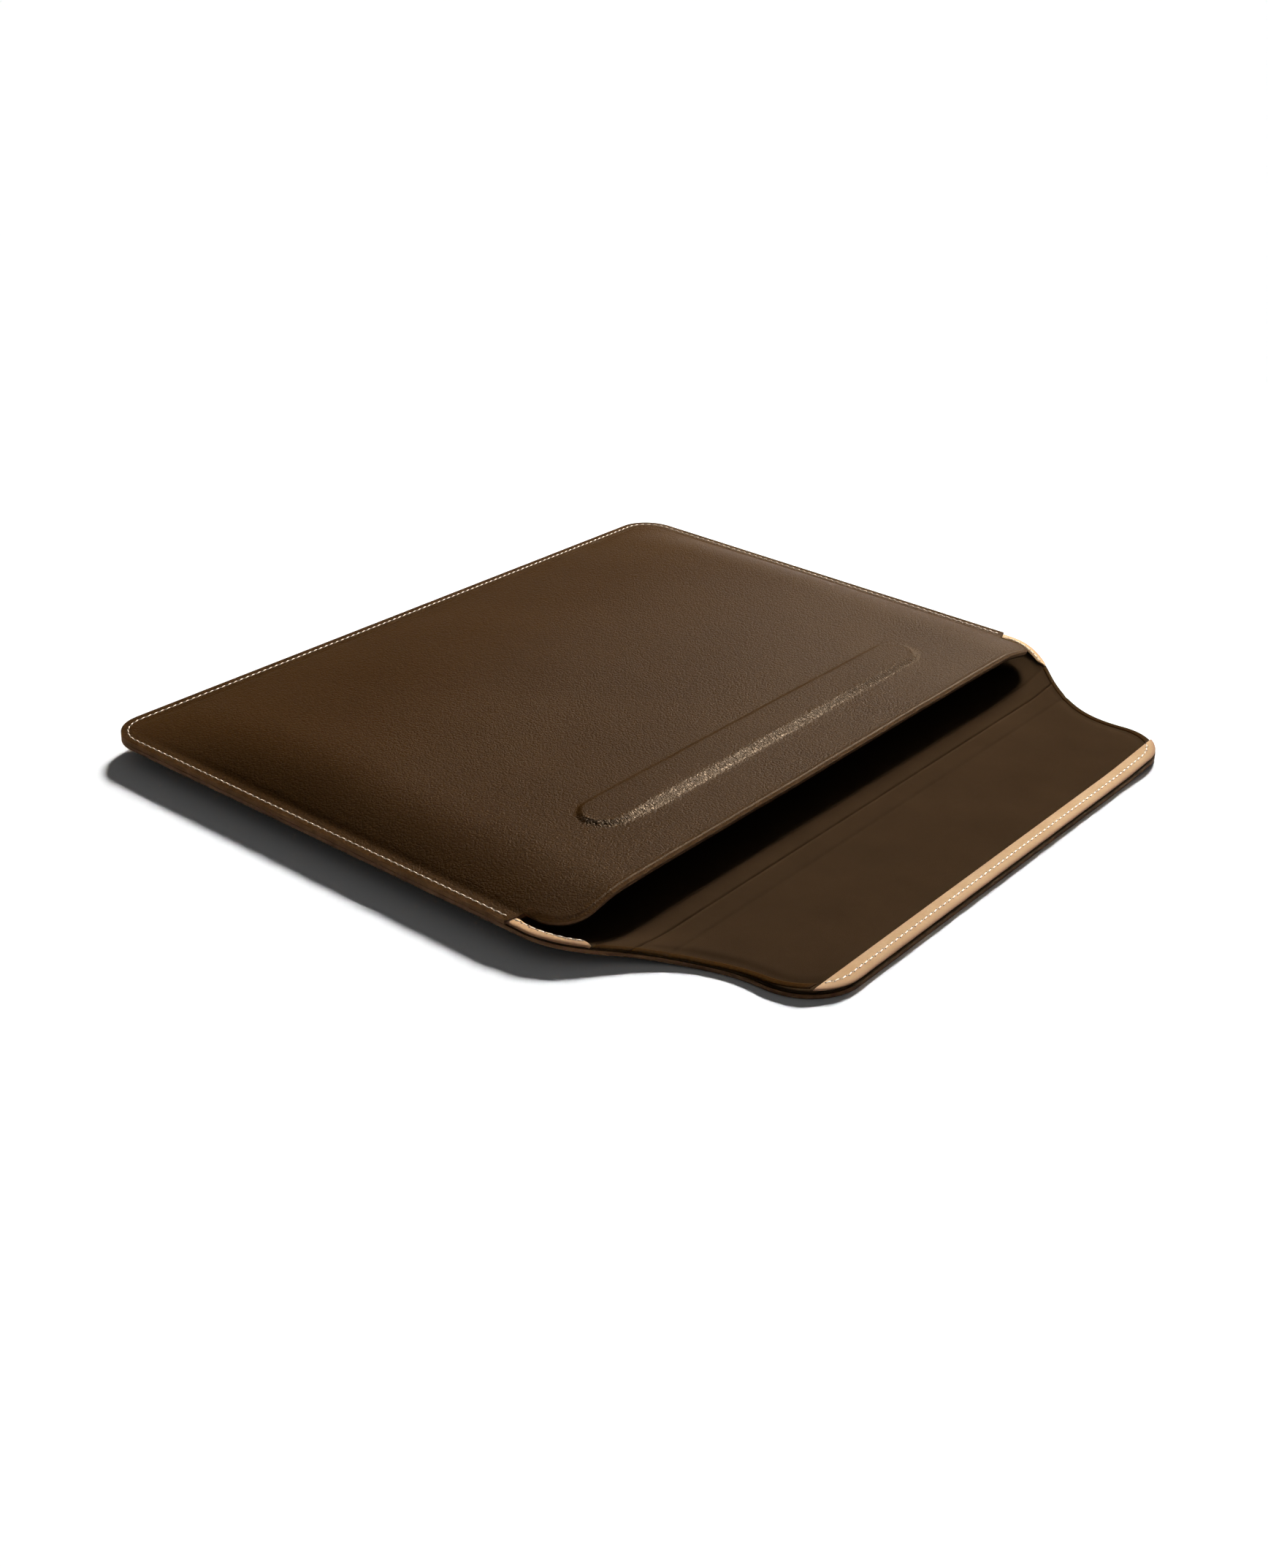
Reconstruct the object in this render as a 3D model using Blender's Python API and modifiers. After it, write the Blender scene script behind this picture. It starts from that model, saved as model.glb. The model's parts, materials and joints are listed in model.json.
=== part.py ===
"""Laptop sleeve: two formed leather panels stitched together on three sides, with a fold-over flap.

Metres, +Z up. X runs along the mouth, -Y points out of the mouth and towards the flap's free edge,
and +Y points to the closed edge. The origin is on the resting surface, below the middle of the
sleeve with its flap lying open. Every layer of a panel follows one surface at its own depth.
"""
import math

import bmesh
import bpy
from mathutils import Matrix, Vector

MM = 0.001

# Body outline
BODY_HALF_W = 168.5 * MM
CLOSED_Y = 153 * MM
CLOSED_CORNER_R = 16 * MM
SEAM_END_Y = -49 * MM
SEAM_W = 5 * MM

# Free lip of the front panel, past the ends of the seam
LIP_HALF_W = 159.5 * MM
LIP_START_Y = -50.5 * MM
MOUTH_Y = -73 * MM
LIP_CORNER_R = 10 * MM

# Folds and flap
HINGE_1_Y = -79.5 * MM
SPINE_LENGTH = 19 * MM
FOLD_GAP = 0.5 * MM
BOARD_FOLD_GAP = 5.5 * MM
HINGE_2_Y = HINGE_1_Y - SPINE_LENGTH
FREE_EDGE_Y = -153 * MM
FLAP_HALF_W = 137 * MM
FLAP_CORNER_R = 23 * MM
NECK_Y = -83 * MM
NECK_HALF_W = 154.2 * MM
NECK_SLOPE = 1.05

# Layers, from the outside in
LEATHER = 1.6 * MM
BOARD = 0.45 * MM
LINING = 0.45 * MM
GAP = 0.15 * MM
BOARD_DEPTH = LEATHER + GAP
LINING_DEPTH = BOARD_DEPTH + BOARD + GAP
STACK = LINING_DEPTH + LINING

# Heights of the panels' outer faces
SEAM_TOP_Z = 10.2 * MM
SEAM_BOTTOM_Z = SEAM_TOP_Z - 2 * LEATHER - GAP
FRONT_RISE = 8.8 * MM
SIDE_RUN = 38 * MM
SIDE_POWER = 2.6
END_RUN = 90 * MM
END_POWER = 2.2
MOUTH_FALL = 0.0225
MOUTH_FALL_START_Y = 40 * MM
BACK_RUN = 18 * MM
SEAM_FILLET = 3.5 * MM
EDGE_DROP_POWER = 1.6

# Grid lines of the panels: insets from the side edge, and rows along Y
INSETS = [inset * MM for inset in (0, 5, 8, 11, 16, 26, 40, 60, 90, 130)]
STRETCH_INSET = 60 * MM
FIXED_INSET = 16 * MM
LEATHER_COLUMN, LINING_COLUMN, BOARD_COLUMN = 1, 3, 4
LINING_INSET = INSETS[LINING_COLUMN]
BOARD_INSET = INSETS[BOARD_COLUMN]
CLOSED_ROWS = [CLOSED_Y - inset * MM for inset in (0, 5, 8, 11, 16, 26, 40, 60, 90)]
BODY_ROWS = [y * MM for y in (30, -5)] + [SEAM_END_Y]
LIP_ROWS = [LIP_START_Y] + [MOUTH_Y + step * MM for step in (17, 10, 6, 3, 0)]
TAIL_ROWS = [y * MM for y in (-54, -60, -66, -72, -77)]

# Magnet bar in the front panel
BAR_Y = -35.6 * MM
BAR_LENGTH = 216 * MM
BAR_WIDTH = 20 * MM
BAR_RISE = 2.0 * MM
BAR_BEVEL = 1.2 * MM
HOLLOW_TOP = BAR_RISE - LEATHER
FORMER_MARGIN = 0.3 * MM
FORMER_THICKNESS = 1.5 * MM
MAGNET_R = 6 * MM
MAGNET_THICKNESS = 1.4 * MM
MAGNET_PITCH = 40 * MM
MAGNET_COUNT = 5
BAR_BEVEL_SEGMENTS = 2

# Fineness of round shapes
ARC_STEPS = 8
SIDE_STEPS = 5
STADIUM_SEGMENTS = 4 * ARC_STEPS
HALF_SEGMENT = math.pi / STADIUM_SEGMENTS
MAGNET_SEGMENTS = 24
THREAD_RESOLUTION = 2
WELD_DISTANCE = 0.01 * MM

# Flap insert, facings and threads
STRIP_HALF_L = 95 * MM
STRIP_Y = (-147.5 * MM, -135.5 * MM)
FLAP_BOARD_MARGIN = 18 * MM
FLAP_BOARD_END_Y = -134.5 * MM
FACING = 0.7 * MM
FACING_W = 7.5 * MM
FACING_MARGIN = 0.5 * MM
LINING_MARGIN = 0.8 * MM
LIP_LINING_MARGIN = 1.6 * MM
SIDE_TRIM_INSETS = (4.8 * MM, 0.6 * MM)
SIDE_TRIM_ROWS = [-50.2 * MM] + TAIL_ROWS
THREAD_R = 0.3 * MM
SEAM_THREAD_INSET = 2.7 * MM
FLAP_THREAD_INSET = 3.8 * MM
THREAD_END = 1.5 * MM

COLOURS = {
    "leather": ((0.078, 0.046, 0.021), 0.55, 0.0),
    "lining": ((0.060, 0.034, 0.018), 0.90, 0.0),
    "board": ((0.25, 0.22, 0.18), 0.85, 0.0),
    "tan": ((0.68, 0.45, 0.26), 0.70, 0.0),
    "thread": ((0.74, 0.66, 0.55), 0.80, 0.0),
    "magnet": ((0.60, 0.60, 0.62), 0.30, 1.0),
    "strip": ((0.50, 0.50, 0.52), 0.40, 1.0),
}


def reset_scene():
    for item in list(bpy.data.objects):
        bpy.data.objects.remove(item, do_unlink=True)


def new_collection(name):
    group = bpy.data.collections.new(name)
    bpy.context.scene.collection.children.link(group)
    return group


def material(part_name, kind):
    colour, roughness, metallic = COLOURS[kind]
    result = bpy.data.materials.new(part_name)
    result.use_nodes = True
    shader = result.node_tree.nodes["Principled BSDF"]
    shader.inputs["Base Color"].default_value = (*colour, 1.0)
    shader.inputs["Roughness"].default_value = roughness
    shader.inputs["Metallic"].default_value = metallic
    result.diffuse_color = (*colour, 1.0)
    return result


def add_object(name, data, group, kind=None, parent=None):
    item = bpy.data.objects.new(name, data)
    group.objects.link(item)
    if kind:
        data.materials.append(material(name, kind))
    if parent:
        item.parent = parent
    return item


# ---- Shape of the panels ----

def smooth(t):
    t = min(max(t, 0.0), 1.0)
    return t * t * (3 - 2 * t)


def hermite(start, end, slope_start, slope_end, t):
    return (start * (2 * t**3 - 3 * t**2 + 1) + slope_start * (t**3 - 2 * t**2 + t)
            + end * (3 * t**2 - 2 * t**3) + slope_end * (t**3 - t**2))


def half_width(y):
    """Half the width of the back panel, spine or flap at y."""
    straight_y = FREE_EDGE_Y + FLAP_CORNER_R
    if y >= SEAM_END_Y:
        return BODY_HALF_W
    if y >= NECK_Y:
        run = SEAM_END_Y - NECK_Y
        return hermite(BODY_HALF_W, NECK_HALF_W, 0, -NECK_SLOPE * run, (SEAM_END_Y - y) / run)
    if y >= straight_y:
        run = NECK_Y - straight_y
        return hermite(NECK_HALF_W, FLAP_HALF_W, -NECK_SLOPE * run, 0, (NECK_Y - y) / run)
    return FLAP_HALF_W


def seam_distance(x, y, half=BODY_HALF_W):
    """Distance inwards from the inner line of the stitched edge."""
    across = abs(x) - (half - CLOSED_CORNER_R)
    along = y - (CLOSED_Y - CLOSED_CORNER_R)
    outside = math.hypot(max(across, 0), max(along, 0)) + min(max(across, along), 0)
    return CLOSED_CORNER_R - outside - SEAM_W


def front_height(x, y):
    """Top face of the front panel."""
    side = 1 - (1 - min(max((BODY_HALF_W - SEAM_W - abs(x)) / SIDE_RUN, 0), 1)) ** SIDE_POWER
    end = 1 - (1 - min(max((CLOSED_Y - SEAM_W - y) / END_RUN, 0), 1)) ** END_POWER
    fall = MOUTH_FALL * max(MOUTH_FALL_START_Y - y, 0)
    fillet = smooth(seam_distance(x, y) / SEAM_FILLET)
    return SEAM_TOP_Z + (FRONT_RISE - fall) * side * end * fillet


def edge_height(y):
    """Underside of the back panel along its edges: level at the seam, down to zero at the fold."""
    share = min(max((y - HINGE_1_Y) / (SEAM_END_Y - HINGE_1_Y), 0), 1)
    return SEAM_BOTTOM_Z * math.sin(math.pi / 2 * share) ** EDGE_DROP_POWER


def back_height(x, y):
    """Underside of the back panel."""
    distance = seam_distance(x, y, half_width(y))
    fall = 1 - (1 - min(max(distance / BACK_RUN, 0), 1)) ** 2
    return edge_height(y) * (1 - fall * smooth(distance / SEAM_FILLET))


def round_corner(x, y, centre_x, centre_y, radius):
    """Bends the square corner past a centre into a round one."""
    across = (abs(x) - centre_x) / radius
    along = (y - centre_y) / radius
    if across <= 0 or abs(along) > 1:
        return x, y
    bent_x = centre_x + radius * across * math.sqrt(1 - along**2 / 2)
    bent_y = centre_y + radius * along * math.sqrt(1 - across**2 / 2)
    return math.copysign(bent_x, x), bent_y


def round_closed_corner(x, y):
    centre_y = CLOSED_Y - CLOSED_CORNER_R
    if y <= centre_y:
        return x, y
    return round_corner(x, y, BODY_HALF_W - CLOSED_CORNER_R, centre_y, CLOSED_CORNER_R)


def round_lip_corner(x, y):
    centre_y = MOUTH_Y + LIP_CORNER_R
    if y >= centre_y:
        return x, y
    return round_corner(x, y, LIP_HALF_W - LIP_CORNER_R, centre_y, LIP_CORNER_R)


def column_x(inset, half):
    """X of a grid line: fixed insets near the edge, evened out towards the middle."""
    if inset <= FIXED_INSET:
        return half - inset
    still = BODY_HALF_W - STRETCH_INSET
    if inset >= STRETCH_INSET:
        return BODY_HALF_W - inset
    share = (STRETCH_INSET - inset) / (STRETCH_INSET - FIXED_INSET)
    return still + share * (half - FIXED_INSET - still)


def edge_inset(_y):
    """The leather reaches the panel's edge at every row."""
    return 0.0


def board_inset(_y):
    return BOARD_INSET


def panel_sheet(name, rows, edge, half, height, round_point, faces_down, first_inset):
    """A grid laid over a panel's outer face, from one side edge to the other."""
    inner = [inset for inset in INSETS if inset >= first_inset]
    half_count = len(inner) + 1
    columns = 2 * half_count + 1
    mesh = bpy.data.meshes.new(name)
    grid = bmesh.new()
    bmesh.ops.create_grid(grid, x_segments=columns - 1, y_segments=len(rows) - 1, size=1)
    for vert in grid.verts:
        column = round((vert.co.x + 1) / 2 * (columns - 1))
        y = rows[round((1 - vert.co.y) / 2 * (len(rows) - 1))]
        step = half_count - abs(column - half_count)
        side = -1 if column < half_count else 1
        insets = [edge(y)] + inner
        x = side * column_x(insets[step], half(y)) if step < half_count else 0.0
        x, bent_y = round_point(x, y)
        vert.co = (x, bent_y, height(x, bent_y))
    if faces_down:
        bmesh.ops.reverse_faces(grid, faces=grid.faces)
    grid.to_mesh(mesh)
    grid.free()
    return mesh


def thicken(item, depth, thickness):
    """Gives a sheet its thickness, starting at a depth below the panel's outer face."""
    shell = item.modifiers.new("thickness", "SOLIDIFY")
    shell.thickness = thickness
    shell.offset = -(2 * depth + thickness) / thickness
    shell.use_even_offset = True


# ---- Front panel ----

def front_half(y):
    return BODY_HALF_W if y >= SEAM_END_Y else LIP_HALF_W


def round_front(x, y):
    return round_lip_corner(*round_closed_corner(x, y))


def front_sheet(name, rows, edge, first_inset):
    return panel_sheet(name, rows, edge, front_half, front_height, round_front, False,
                       first_inset)


def stadium(name, length, width, low, high, group, parent, kind=None):
    """A flat bar with round ends: a cylinder whose halves are moved apart."""
    radius = width / 2
    shape = bmesh.new()
    bmesh.ops.create_cone(shape, cap_ends=True, segments=STADIUM_SEGMENTS, radius1=radius,
                          radius2=radius, depth=high - low)
    bmesh.ops.rotate(shape, verts=shape.verts, matrix=Matrix.Rotation(HALF_SEGMENT, 3, "Z"))
    for vert in shape.verts:
        vert.co.x += math.copysign(length / 2 - radius, vert.co.x)
        vert.co.z += (low + high) / 2
    mesh = bpy.data.meshes.new(name)
    shape.to_mesh(mesh)
    shape.free()
    return add_object(name, mesh, group, kind, parent)


def fill_outline(curve, points):
    spline = curve.splines.new("POLY")
    spline.points.add(len(points) - 1)
    for point, (x, y) in zip(spline.points, points):
        point.co = (x, y, 0, 1)
    spline.use_cyclic_u = True


def curve_to_mesh(item, group, kind):
    """Replaces a filled curve with the same shape as a welded mesh."""
    bpy.context.view_layer.update()
    evaluated = item.evaluated_get(bpy.context.evaluated_depsgraph_get())
    mesh = bpy.data.meshes.new_from_object(evaluated)
    welded = bmesh.new()
    welded.from_mesh(mesh)
    bmesh.ops.remove_doubles(welded, verts=welded.verts, dist=WELD_DISTANCE)
    bmesh.ops.recalc_face_normals(welded, faces=welded.faces)
    welded.to_mesh(mesh)
    welded.free()
    mesh.materials.clear()
    name, parent, place = item.name, item.parent, item.matrix_world.copy()
    bpy.data.objects.remove(item, do_unlink=True)
    result = add_object(name, mesh, group, kind, parent)
    result.matrix_world = place
    return result


def cut(target, cutter, operation):
    cutter.hide_render = True
    cutter.display_type = "WIRE"
    tool = target.modifiers.new(cutter.name, "BOOLEAN")
    tool.operation = operation
    tool.solver = "EXACT"
    tool.object = cutter


def magnet_x(index):
    return (index - (MAGNET_COUNT - 1) / 2) * MAGNET_PITCH


def disc(name, radius, height, location, group, parent, kind=None):
    mesh = bpy.data.meshes.new(name)
    shape = bmesh.new()
    bmesh.ops.create_cone(shape, cap_ends=True, segments=MAGNET_SEGMENTS, radius1=radius,
                          radius2=radius, depth=height)
    shape.to_mesh(mesh)
    shape.free()
    item = add_object(name, mesh, group, kind, parent)
    item.location = location
    return item


def bar_frame(group):
    """An empty on the front panel's outer face, at the middle of the magnet bar."""
    frame = bpy.data.objects.new("bar_frame", None)
    group.objects.link(frame)
    frame.location = (0, BAR_Y, front_height(0, BAR_Y))
    frame.rotation_euler = (math.atan(MOUTH_FALL), 0, 0)
    bpy.context.view_layer.update()
    return frame


def front_outer_leather(parts, cutters, frame):
    rows = CLOSED_ROWS + BODY_ROWS + LIP_ROWS
    mesh = front_sheet("front_outer_leather", rows, edge_inset, INSETS[LEATHER_COLUMN])
    item = add_object("front_outer_leather", mesh, parts, "leather")
    thicken(item, 0, LEATHER)
    rise = stadium("bar_rise", BAR_LENGTH, BAR_WIDTH, -LEATHER / 2, BAR_RISE, cutters, frame)
    bevel = rise.modifiers.new("soft edge", "BEVEL")
    bevel.width = BAR_BEVEL
    bevel.segments = BAR_BEVEL_SEGMENTS
    bevel.limit_method = "WEIGHT"
    weight_top_rim(rise)
    cut(item, rise, "UNION")
    inner = 2 * LEATHER
    hollow = stadium("bar_hollow", BAR_LENGTH - inner, BAR_WIDTH - inner, -2 * LEATHER,
                     HOLLOW_TOP, cutters, frame)
    cut(item, hollow, "DIFFERENCE")


def weight_top_rim(item):
    """Marks the rim of a bar's top face for its Bevel."""
    mesh = item.data
    weights = mesh.attributes.new("bevel_weight_edge", "FLOAT", "EDGE")
    for edge in mesh.edges:
        on_top = all(mesh.vertices[index].co.z > 0 for index in edge.vertices)
        weights.data[edge.index].value = 1.0 if on_top else 0.0


def front_lining_inset(y):
    return LINING_INSET if y >= SEAM_END_Y else LIP_LINING_MARGIN


def front_inner_layers(parts):
    board_rows = CLOSED_ROWS[BOARD_COLUMN:] + BODY_ROWS + LIP_ROWS[:-3]
    mesh = front_sheet("front_stiffener_board", board_rows, board_inset, INSETS[BOARD_COLUMN + 1])
    thicken(add_object("front_stiffener_board", mesh, parts, "board"), BOARD_DEPTH, BOARD)
    lining_rows = CLOSED_ROWS[LINING_COLUMN:] + BODY_ROWS + LIP_ROWS[:-1]
    lining_rows.append(MOUTH_Y + LIP_LINING_MARGIN)
    mesh = front_sheet("front_lining", lining_rows, front_lining_inset,
                       INSETS[LINING_COLUMN + 1])
    thicken(add_object("front_lining", mesh, parts, "lining"), LINING_DEPTH, LINING)


def magnet_bar(parts, cutters, frame):
    bottom = -LEATHER
    inner = 2 * (LEATHER + FORMER_MARGIN)
    former = stadium("bar_former", BAR_LENGTH - inner, BAR_WIDTH - inner, bottom,
                     bottom + FORMER_THICKNESS, parts, frame, "board")
    middle = bottom + FORMER_THICKNESS / 2
    for index in range(MAGNET_COUNT):
        place = (magnet_x(index), 0, middle)
        hole = disc(f"magnet_seat_{index + 1}", MAGNET_R + FORMER_MARGIN, 2 * FORMER_THICKNESS,
                    place, cutters, frame)
        cut(former, hole, "DIFFERENCE")
        disc(f"bar_magnet_{index + 1}", MAGNET_R, MAGNET_THICKNESS, place, parts, frame, "magnet")


# ---- Back panel ----

def back_sheet(name, rows, edge, first_inset):
    return panel_sheet(name, rows, edge, half_width, back_height, round_closed_corner, True,
                       first_inset)


def back_lining_inset(y):
    return LINING_INSET if y >= SEAM_END_Y else SEAM_W + GAP


def back_panel(parts):
    end_row = HINGE_1_Y + FOLD_GAP
    rows = CLOSED_ROWS + BODY_ROWS + TAIL_ROWS + [end_row]
    mesh = back_sheet("back_outer_leather", rows, edge_inset, INSETS[LEATHER_COLUMN])
    thicken(add_object("back_outer_leather", mesh, parts, "leather"), 0, LEATHER)
    board_rows = rows[BOARD_COLUMN:-2] + [HINGE_1_Y + BOARD_FOLD_GAP]
    mesh = back_sheet("back_stiffener_board", board_rows, board_inset, INSETS[BOARD_COLUMN + 1])
    thicken(add_object("back_stiffener_board", mesh, parts, "board"), BOARD_DEPTH, BOARD)
    lining_rows = rows[LINING_COLUMN:]
    mesh = back_sheet("back_lining", lining_rows, back_lining_inset, INSETS[LINING_COLUMN + 1])
    thicken(add_object("back_lining", mesh, parts, "lining"), LINING_DEPTH, LINING)


def side_trim_surface(inset, y):
    """A point on the back panel's inner face, near its free side edge."""
    return Vector((half_width(y) - inset, y, edge_height(y) + LEATHER))


def side_trims(parts):
    """Tan facing along each free side edge, between the seam's end and the fold."""
    for side, label in ((-1, "left"), (1, "right")):
        name = f"side_trim_{label}"
        strip = bmesh.new()
        bmesh.ops.create_grid(strip, x_segments=1, y_segments=len(SIDE_TRIM_ROWS) - 1, size=1)
        for vert in strip.verts:
            y = SIDE_TRIM_ROWS[round((1 - vert.co.y) / 2 * (len(SIDE_TRIM_ROWS) - 1))]
            inset = SIDE_TRIM_INSETS[0] if vert.co.x * side < 0 else SIDE_TRIM_INSETS[1]
            vert.co = side_trim_surface(inset, y) + Vector((0, 0, GAP))
            vert.co.x *= side
        mesh = bpy.data.meshes.new(name)
        strip.to_mesh(mesh)
        strip.free()
        item = add_object(name, mesh, parts, "tan")
        shell = item.modifiers.new("thickness", "SOLIDIFY")
        shell.thickness = FACING
        shell.offset = 1
        middle = sum(SIDE_TRIM_INSETS) / 2
        lift = Vector((0, 0, 3 * GAP + FACING + THREAD_R))
        path = [side_trim_surface(middle, y) + lift for y in SIDE_TRIM_ROWS]
        path[0].y -= THREAD_END
        path[-1].y += THREAD_END
        thread(f"side_trim_thread_{label}", [(side * x, y, z) for x, y, z in path], parts)


# ---- Spine and flap ----

def outline(top_y, bottom_y, inset):
    """Closed outline of a flat piece between two Y values, inset from the leather's side edges."""
    corner_y = FREE_EDGE_Y + FLAP_CORNER_R
    right = []
    low = max(bottom_y, corner_y)
    if top_y > low:
        for step in range(SIDE_STEPS + 1):
            y = top_y + (low - top_y) * step / SIDE_STEPS
            right.append((half_width(y) - inset, y))
    if bottom_y < corner_y:
        radius = FLAP_CORNER_R - inset
        start = math.asin(min(max((corner_y - top_y) / radius, 0), 1))
        end = math.asin(min((corner_y - bottom_y) / radius, 1))
        first = 1 if right else 0
        for step in range(first, ARC_STEPS + 1):
            angle = start + (end - start) * step / ARC_STEPS
            right.append((FLAP_HALF_W - FLAP_CORNER_R + radius * math.cos(angle),
                          corner_y - radius * math.sin(angle)))
    return right + [(-x, y) for x, y in reversed(right)]


def flat_piece(name, points, low, thickness, parts, kind, axis_empty):
    curve = bpy.data.curves.new(name, "CURVE")
    curve.dimensions = "2D"
    curve.fill_mode = "BOTH"
    curve.extrude = thickness / 2
    fill_outline(curve, points)
    item = add_object(name, curve, parts)
    item.location.z = low + thickness / 2
    solid = curve_to_mesh(item, parts, kind)
    solid.parent = axis_empty
    solid.matrix_parent_inverse = axis_empty.matrix_world.inverted()


def hinge_empty(name, y, group, parent=None):
    """An empty on a fold's axis, at the top of the lining."""
    empty = bpy.data.objects.new(name, None)
    group.objects.link(empty)
    empty.location = (0, y, STACK)
    bpy.context.view_layer.update()
    if parent:
        empty.parent = parent
        empty.matrix_parent_inverse = parent.matrix_world.inverted()
    bpy.context.view_layer.update()
    return empty


def spine(parts, axis_empty):
    layers = (("spine_outer_leather", 0, LEATHER, 0, GAP, "leather"),
              ("spine_interlining", BOARD_DEPTH, BOARD, FLAP_BOARD_MARGIN, BOARD_FOLD_GAP,
               "board"),
              ("spine_lining", LINING_DEPTH, LINING, LINING_MARGIN, GAP, "lining"))
    for name, low, thickness, inset, gap, kind in layers:
        points = outline(HINGE_1_Y - gap, HINGE_2_Y + gap, inset)
        flat_piece(name, points, low, thickness, parts, kind, axis_empty)


def flap(parts, axis_empty):
    top = HINGE_2_Y - GAP
    board = outline(HINGE_2_Y - BOARD_FOLD_GAP, FLAP_BOARD_END_Y, FLAP_BOARD_MARGIN)
    trim = outline(FREE_EDGE_Y + FACING_W, FREE_EDGE_Y + FACING_MARGIN, FACING_MARGIN)
    strip = [(side * STRIP_HALF_L, y) for side, y in
             ((-1, STRIP_Y[0]), (1, STRIP_Y[0]), (1, STRIP_Y[1]), (-1, STRIP_Y[1]))]
    edge = FREE_EDGE_Y + LINING_MARGIN
    layers = (("flap_outer_leather", outline(top, FREE_EDGE_Y, 0), 0, LEATHER, "leather"),
              ("flap_stiffener_board", board, BOARD_DEPTH, BOARD, "board"),
              ("flap_steel_strip", strip, BOARD_DEPTH, BOARD, "strip"),
              ("flap_lining", outline(top, edge, LINING_MARGIN), LINING_DEPTH, LINING, "lining"),
              ("flap_facing", trim, STACK + GAP, FACING, "tan"))
    for name, points, low, thickness, kind in layers:
        flat_piece(name, points, low, thickness, parts, kind, axis_empty)
    z = STACK + 2 * GAP + FACING + THREAD_R
    first = FREE_EDGE_Y + FACING_W - THREAD_END
    line = outline(first, FREE_EDGE_Y + FLAP_THREAD_INSET, FLAP_THREAD_INSET)
    item = thread("flap_thread", [(x, y, z) for x, y in line], parts)
    item.parent = axis_empty
    item.matrix_parent_inverse = axis_empty.matrix_world.inverted()


# ---- Threads ----

def thread(name, points, parts):
    curve = bpy.data.curves.new(name, "CURVE")
    curve.dimensions = "3D"
    curve.bevel_depth = THREAD_R
    curve.bevel_resolution = THREAD_RESOLUTION
    curve.use_fill_caps = True
    spline = curve.splines.new("POLY")
    spline.points.add(len(points) - 1)
    for point, place in zip(spline.points, points):
        point.co = (*place, 1)
    return add_object(name, curve, parts, "thread")


def seam_path(z):
    """Round the three stitched sides, from one end of the seam to the other."""
    half = BODY_HALF_W - SEAM_THREAD_INSET
    radius = CLOSED_CORNER_R - SEAM_THREAD_INSET
    centre = (BODY_HALF_W - CLOSED_CORNER_R, CLOSED_Y - CLOSED_CORNER_R)
    right = [(half, SEAM_END_Y + THREAD_END, z)]
    for step in range(ARC_STEPS + 1):
        angle = math.pi / 2 * step / ARC_STEPS
        right.append((centre[0] + radius * math.cos(angle),
                      centre[1] + radius * math.sin(angle), z))
    return right + [(-x, y, height) for x, y, height in reversed(right)]


def seam_threads(parts):
    clear = GAP + THREAD_R
    thread("seam_thread_front", seam_path(SEAM_TOP_Z + clear), parts)
    thread("seam_thread_back", seam_path(SEAM_BOTTOM_Z - clear), parts)


def main():
    reset_scene()
    parts = new_collection("laptop_sleeve")
    cutters = new_collection("cutters")
    frame = bar_frame(parts)
    front_outer_leather(parts, cutters, frame)
    front_inner_layers(parts)
    magnet_bar(parts, cutters, frame)
    back_panel(parts)
    side_trims(parts)
    fold_1 = hinge_empty("fold_1_axis", HINGE_1_Y, parts)
    fold_2 = hinge_empty("fold_2_axis", HINGE_2_Y, parts, fold_1)
    spine(parts, fold_1)
    flap(parts, fold_2)
    seam_threads(parts)


main()
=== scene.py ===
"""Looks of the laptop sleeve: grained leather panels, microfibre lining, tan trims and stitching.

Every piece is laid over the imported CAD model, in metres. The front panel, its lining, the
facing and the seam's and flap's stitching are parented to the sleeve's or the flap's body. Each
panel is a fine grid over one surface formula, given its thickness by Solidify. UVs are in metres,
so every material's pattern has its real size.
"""
import json
import math

import bpy
import numpy as np
from mathutils import Matrix, Vector


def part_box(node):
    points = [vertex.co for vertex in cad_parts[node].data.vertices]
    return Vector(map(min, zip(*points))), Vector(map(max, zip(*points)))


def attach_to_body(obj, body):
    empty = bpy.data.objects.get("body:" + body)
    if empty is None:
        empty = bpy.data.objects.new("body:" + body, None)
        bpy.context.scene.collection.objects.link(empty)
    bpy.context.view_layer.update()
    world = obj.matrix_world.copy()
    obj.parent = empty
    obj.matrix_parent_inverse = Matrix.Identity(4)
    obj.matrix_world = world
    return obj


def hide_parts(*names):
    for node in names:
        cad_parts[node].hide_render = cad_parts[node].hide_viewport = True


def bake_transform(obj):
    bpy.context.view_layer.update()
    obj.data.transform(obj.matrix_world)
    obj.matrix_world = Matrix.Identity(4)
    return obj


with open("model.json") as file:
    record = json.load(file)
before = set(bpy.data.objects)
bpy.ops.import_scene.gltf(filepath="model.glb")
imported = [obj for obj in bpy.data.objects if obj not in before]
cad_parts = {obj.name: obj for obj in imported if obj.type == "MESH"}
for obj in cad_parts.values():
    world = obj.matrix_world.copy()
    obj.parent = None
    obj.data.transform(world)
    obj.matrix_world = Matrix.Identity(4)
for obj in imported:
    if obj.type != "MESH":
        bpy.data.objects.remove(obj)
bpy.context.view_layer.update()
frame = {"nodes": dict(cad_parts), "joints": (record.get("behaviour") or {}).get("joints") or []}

MM = 0.001

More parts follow.
